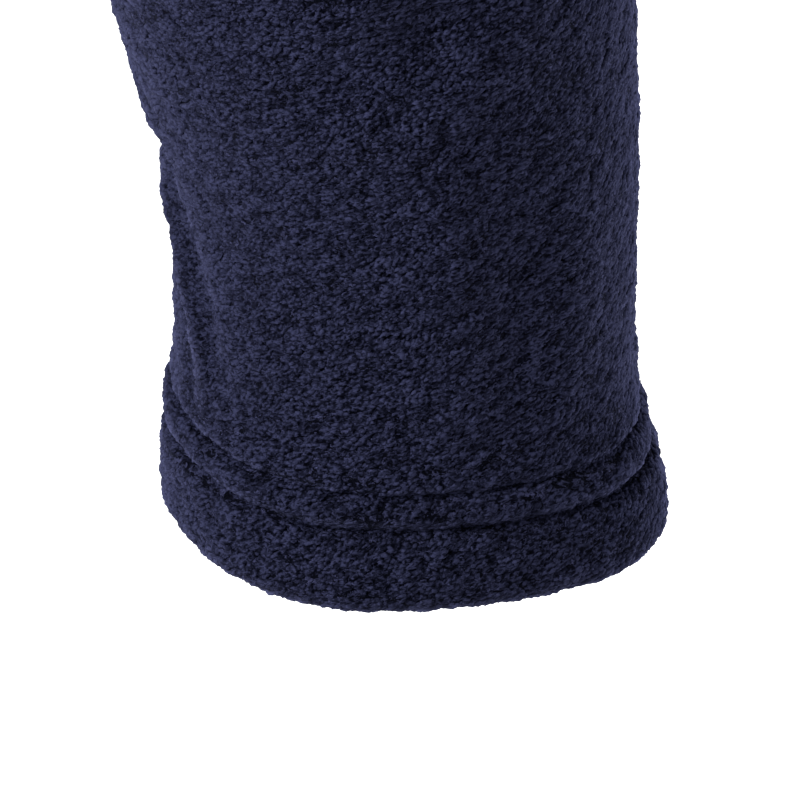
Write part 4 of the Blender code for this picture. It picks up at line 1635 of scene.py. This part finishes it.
@dataclass
class Collar:
    """The stand collar, of one layer of fleece, open at the zip."""

    finishes: Finishes
    height: float = 0.058
    radius: float = 0.073
    columns: int = 120
    rows: int = 20
    tuck: float = 0.0027

    def build(self) -> list[bpy.types.Object]:
        """Builds and dresses the collar, whose foot is tucked a little behind the body's neckline."""
        rim = COLLAR_WALL / 2.0 * RIM_SHARES / self.height
        plain = np.linspace(rim[-1], 1.0 - rim[-1], self.rows)[1:-1]
        level = np.concatenate([rim - self.tuck / self.height, plain, 1.0 - rim[::-1]])[:, None]
        start = COLLAR.angle_at(ZIP_EDGE, level)
        turn = TWO_PI - 2.0 * start
        across = spread(turn * self.radius, self.columns, COLLAR_WALL / 2.0)
        angle = start + turn * across / (turn * self.radius)
        points, normals = COLLAR.point(angle, level), COLLAR.normal(angle, level)
        first, last, foot, _ = distances(points)
        lift = COLLAR_DRAPE.lift(np.degrees(angle), foot, points)
        lift = ZIP_SEWING.applied(lift, np.minimum(first, last))
        edges = Finish(Edge.FREE, Edge.FREE, Edge.SEAM, Edge.FREE)
        outer, inner = finished(points, normals, lift, np.full(lift.shape, COLLAR_WALL), edges)
        obj = walled("collar_cloth", outer, inner)
        obj.data.materials.append(self.finishes.fleece)
        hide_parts("collar")
        return [obj]


# ---------------------------------------------------------------- sewing and zip


@dataclass
class Sewing:
    """Every stitch, as one mesh of small arched spindles sunk in the cloth."""

    lines: list[SewnLine]
    finishes: Finishes
    pitch: float = 0.0031
    length: float = 0.0024
    radius: float = 0.00026
    sunk: float = 0.00022
    ring_at: float = 0.24
    tip_drop: float = 1.6

    def build(self) -> list[bpy.types.Object]:
        """Builds the stitches: two rings of five points between two tips."""
        rows = [line.stations(self.pitch) for line in self.lines]
        place, ahead, up = (np.concatenate([row[k] for row in rows]) for k in range(3))
        side = np.cross(up, ahead)
        turn = np.arange(5) * TWO_PI / 5.0
        around = side[:, None] * np.cos(turn)[:, None] + up[:, None] * np.sin(turn)[:, None]
        middle = place - up * self.sunk
        rings = [
            (middle + ahead * self.length * share)[:, None] + around * self.radius
            for share in (-self.ring_at, self.ring_at)
        ]
        low = up * self.radius * self.tip_drop
        tips = [(middle + ahead * self.length * share - low)[:, None] for share in (-0.5, 0.5)]
        points = np.concatenate(rings + tips, axis=1)
        k = np.arange(5)
        after = (k + 1) % 5
        walls = np.stack([k, after, after + 5, k + 5], axis=-1)
        foot, head = np.full(5, 10), np.full(5, 11)
        ends = [np.stack(face, axis=-1) for face in ((after, k, foot), (k + 5, after + 5, head))]
        base = np.arange(len(place))[:, None, None] * points.shape[1]
        faces = [(base + part).reshape(-1, part.shape[1]) for part in (walls, np.concatenate(ends))]
        obj = mesh_object("sewing_thread", points.reshape(-1, 3), faces)
        obj.data.materials.append(self.finishes.thread)
        return [obj]


@dataclass(frozen=True)
class ZipTeeth:
    """Moulded teeth that lock alternately from both sides, down the middle of the front."""

    finishes: Finishes
    pitch: float = 0.0028
    depth: float = 0.0038
    half_wall: float = 0.0011
    front_share: float = 0.84
    cord_half: tuple[float, float] = (0.0015, 0.0007)
    cord_apart: float = 1.06
    cord_pitch: float = 0.006
    cord_sides: int = 8
    foot_level: float = 0.0120
    collar_start: float = 0.01
    collar_end: float = 0.84
    outline: tuple[tuple[float, float], ...] = (
        (0.00300, 0.00062),
        (0.00110, 0.00050),
        (0.00020, 0.00058),
        (-0.00085, 0.00052),
        (-0.00105, 0.00000),
        (-0.00085, -0.00052),
        (0.00020, -0.00058),
        (0.00110, -0.00050),
        (0.00300, -0.00062),
    )

    def path(self) -> SewnLine:
        """The middle line of the teeth, a depth behind the cloth, from the box to the slider."""
        parts = []
        for surface, levels in (
            (BODY, np.linspace(self.foot_level, 1.0, 240)),
            (COLLAR, np.linspace(self.collar_start, self.collar_end, 40)),
        ):
            middle = np.zeros(len(levels))
            normal = surface.normal(middle, levels)
            parts.append((surface.point(middle, levels) - normal * self.depth, normal))
        return SewnLine(*(np.concatenate([part[k] for part in parts]) for k in range(2)))

    def build(self) -> list[bpy.types.Object]:
        """Builds the teeth, each an outline with a wider back than front, and the cords."""
        place, ahead, up = self.path().stations(self.pitch / 2.0)
        side = np.where(np.arange(len(place)) % 2, -1.0, 1.0)[:, None, None]
        across = np.array([1.0, 0.0, 0.0]) * side
        outline = np.array(self.outline)
        count = len(outline)
        sheets = []
        for height, share in ((self.half_wall, self.front_share), (-self.half_wall, 1.0)):
            flat = across * outline[None, :, :1] + ahead[:, None] * outline[None, :, 1:] * share
            sheets.append(place[:, None] + flat + up[:, None] * height)
        points = np.concatenate(sheets, axis=1)
        k = np.arange(count)
        after = (k + 1) % count
        base = np.arange(len(place))[:, None, None] * 2 * count
        walls = base + np.stack([k, k + count, after + count, after], axis=-1)
        caps = base + np.stack([k, k[::-1] + count])
        mirrored = side[:, 0, 0] < 0.0
        for faces in (walls, caps):
            faces[mirrored] = faces[mirrored][..., ::-1]
        faces = [walls.reshape(-1, 4), caps.reshape(-1, count)]
        obj = mesh_object("zip_teeth", points.reshape(-1, 3), faces)
        obj.data.materials.append(self.finishes.teeth)
        obj.data.shade_flat()
        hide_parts("zip_chain")
        return [obj, self.cords()]

    def cords(self) -> bpy.types.Object:
        """The two cords of the tapes' edges, oval rods that the teeth are moulded on."""
        place, _, up = self.path().stations(self.cord_pitch)
        count, sides = len(place), self.cord_sides
        turn = np.arange(sides) * TWO_PI / sides
        right = np.array([1.0, 0.0, 0.0])
        wide, high = self.cord_half
        oval = right * np.cos(turn)[:, None] * wide
        rods = [
            (place + right * side * wide * self.cord_apart)[:, None]
            + oval
            + up[:, None] * np.sin(turn)[:, None] * high
            for side in (-1.0, 1.0)
        ]
        k, row = np.arange(sides), np.arange(count - 1)[:, None] * sides
        after = (k + 1) % sides
        walls = np.stack([row + k, row + after, row + sides + after, row + sides + k], axis=-1)
        walls = walls.reshape(-1, 4)
        ends = np.stack([k[::-1], k + (count - 1) * sides])
        faces = [np.concatenate([part, part + count * sides]) for part in (walls, ends)]
        obj = mesh_object("zip_cords", np.concatenate(rods).reshape(-1, 3), faces)
        obj.data.materials.append(self.finishes.tape)
        return obj


# ---------------------------------------------------------------- studio


@dataclass(frozen=True)
class Softbox:
    """A square area light aimed at a point."""

    name: str
    place: tuple[float, float, float]
    aim: tuple[float, float, float]
    size: float
    watts: float

    def build(self) -> None:
        """Adds the light to the scene."""
        light = bpy.data.lights.new(self.name, "AREA")
        light.energy = self.watts
        light.size = self.size
        obj = bpy.data.objects.new(self.name, light)
        obj.location = self.place
        obj.rotation_mode = "QUATERNION"
        obj.rotation_quaternion = (Vector(self.aim) - Vector(self.place)).to_track_quat("-Z", "Y")
        obj.visible_camera = False
        bpy.context.scene.collection.objects.link(obj)


@dataclass(frozen=True)
class Studio:
    """A pale floor, soft light and the camera."""

    target: tuple[float, float, float] = (0.38832, -0.0450, -0.62685)
    elevation: float = math.radians(28.0)
    distance: float = 1.5
    frame_width: float = 0.12195
    sensor: float = 36.0
    air: float = 0.05
    floor_z: float = -1.45
    floor_reach: float = 60.0
    floor_glow: float = 0.15
    floor_greys: tuple[Colour, Colour] = ((0.86, 0.86, 0.86, 1.0), (0.88, 0.88, 0.88, 1.0))
    softboxes: tuple[Softbox, ...] = (
        Softbox("softbox_left", (-1.7, -0.9, -0.2), (0.36, 0.0, -0.6), 1.0, 42.0),
        Softbox("softbox_key", (-0.45, -0.55, 0.20), (0.36, 0.0, -0.6), 0.40, 10.0),
        Softbox("softbox_right", (2.3, 0.4, -0.5), (0.36, 0.0, -0.6), 1.3, 38.0),
        Softbox("softbox_front", (0.3, -1.3, 0.4), (0.35, 0.0, -0.6), 0.9, 4.0),
        Softbox("softbox_high", (-1.6, -1.1, 1.6), (0.0, 0.0, -0.2), 1.0, 18.0),
        Softbox("softbox_back", (0.6, 2.2, 1.2), (0.2, 0.0, -0.4), 1.6, 70.0),
    )

    def build(self) -> None:
        """Builds the floor, the lights, the world and the camera."""
        self.floor()
        for softbox in self.softboxes:
            softbox.build()
        world = bpy.data.worlds.new("studio_air")
        world.use_nodes = True
        air = world.node_tree.nodes["Background"]
        air.inputs["Color"].default_value = (1.0, 1.0, 1.0, 1.0)
        sheet = NodeSheet(world.node_tree)
        sheet.join(air.inputs["Strength"], sheet.scaled(sheet.camera_ray(), 1.0 - self.air, self.air))
        bpy.context.scene.world = world
        bpy.context.scene.view_settings.view_transform = "Standard"
        self.camera()

    def floor(self) -> None:
        """A wide plain pale floor that glows a little, as a lit white sweep does."""
        corners = np.array([[-1.0, -1.0], [1.0, -1.0], [1.0, 1.0], [-1.0, 1.0]]) * self.floor_reach
        points = np.column_stack([corners, np.full(4, self.floor_z)])
        obj = mesh_object("studio_floor", points, [np.array([[0, 1, 2, 3]])])
        material, sheet, shader = new_material("white_sweep", roughness=0.9, specular_ior_level=0.1)
        colour = sheet.blend(sheet.noise(sheet.place(), 1.5, 2.0), *self.floor_greys)
        sheet.join(shader.inputs["Base Color"], colour)
        shader.inputs["Emission Color"].default_value = (1.0, 1.0, 1.0, 1.0)
        glow = sheet.scaled(sheet.camera_ray(), 0.90, self.floor_glow)
        sheet.join(shader.inputs["Emission Strength"], glow)
        obj.data.materials.append(material)

    def camera(self) -> None:
        """A long lens that looks down at the left cuff from the front."""
        data = bpy.data.cameras.new("camera")
        data.sensor_width = self.sensor
        data.lens = self.sensor * self.distance / self.frame_width
        data.clip_end = 200.0
        obj = bpy.data.objects.new("camera", data)
        back = Vector((0.0, -math.cos(self.elevation), math.sin(self.elevation)))
        obj.location = Vector(self.target) + back * self.distance
        obj.rotation_mode = "QUATERNION"
        obj.rotation_quaternion = (-back).to_track_quat("-Z", "Y")
        bpy.context.scene.collection.objects.link(obj)
        bpy.context.scene.camera = obj


def attach(made: list[bpy.types.Object]) -> None:
    """Ties new pieces to the jacket's body, and reports them."""
    for obj in made:
        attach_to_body(obj, "jacket")
        LOG.info("%s: %d faces", obj.name, len(obj.data.polygons))


def dress_hardware(finishes: Finishes) -> None:
    """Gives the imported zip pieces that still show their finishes."""
    for node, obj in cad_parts.items():
        if not obj.hide_render:
            finish = finishes.tape if "tape" in node else finishes.metal
            if node in ("zip_chain", "zip_box"):
                finish = finishes.teeth
            obj.data.materials.clear()
            obj.data.materials.append(finish)


def main() -> None:
    """Builds the jacket's pieces in order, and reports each."""
    logging.basicConfig(level=logging.INFO, format="%(message)s")
    finishes = Finishes()
    body, sleeves = Body(finishes), Sleeves(finishes)
    for assembly in (body, sleeves, Collar(finishes)):
        attach(assembly.build())
    attach(Sewing(body.lines + sleeves.lines, finishes).build())
    attach(ZipTeeth(finishes).build())
    dress_hardware(finishes)
    Studio().build()


if __name__ == "__main__":
    main()
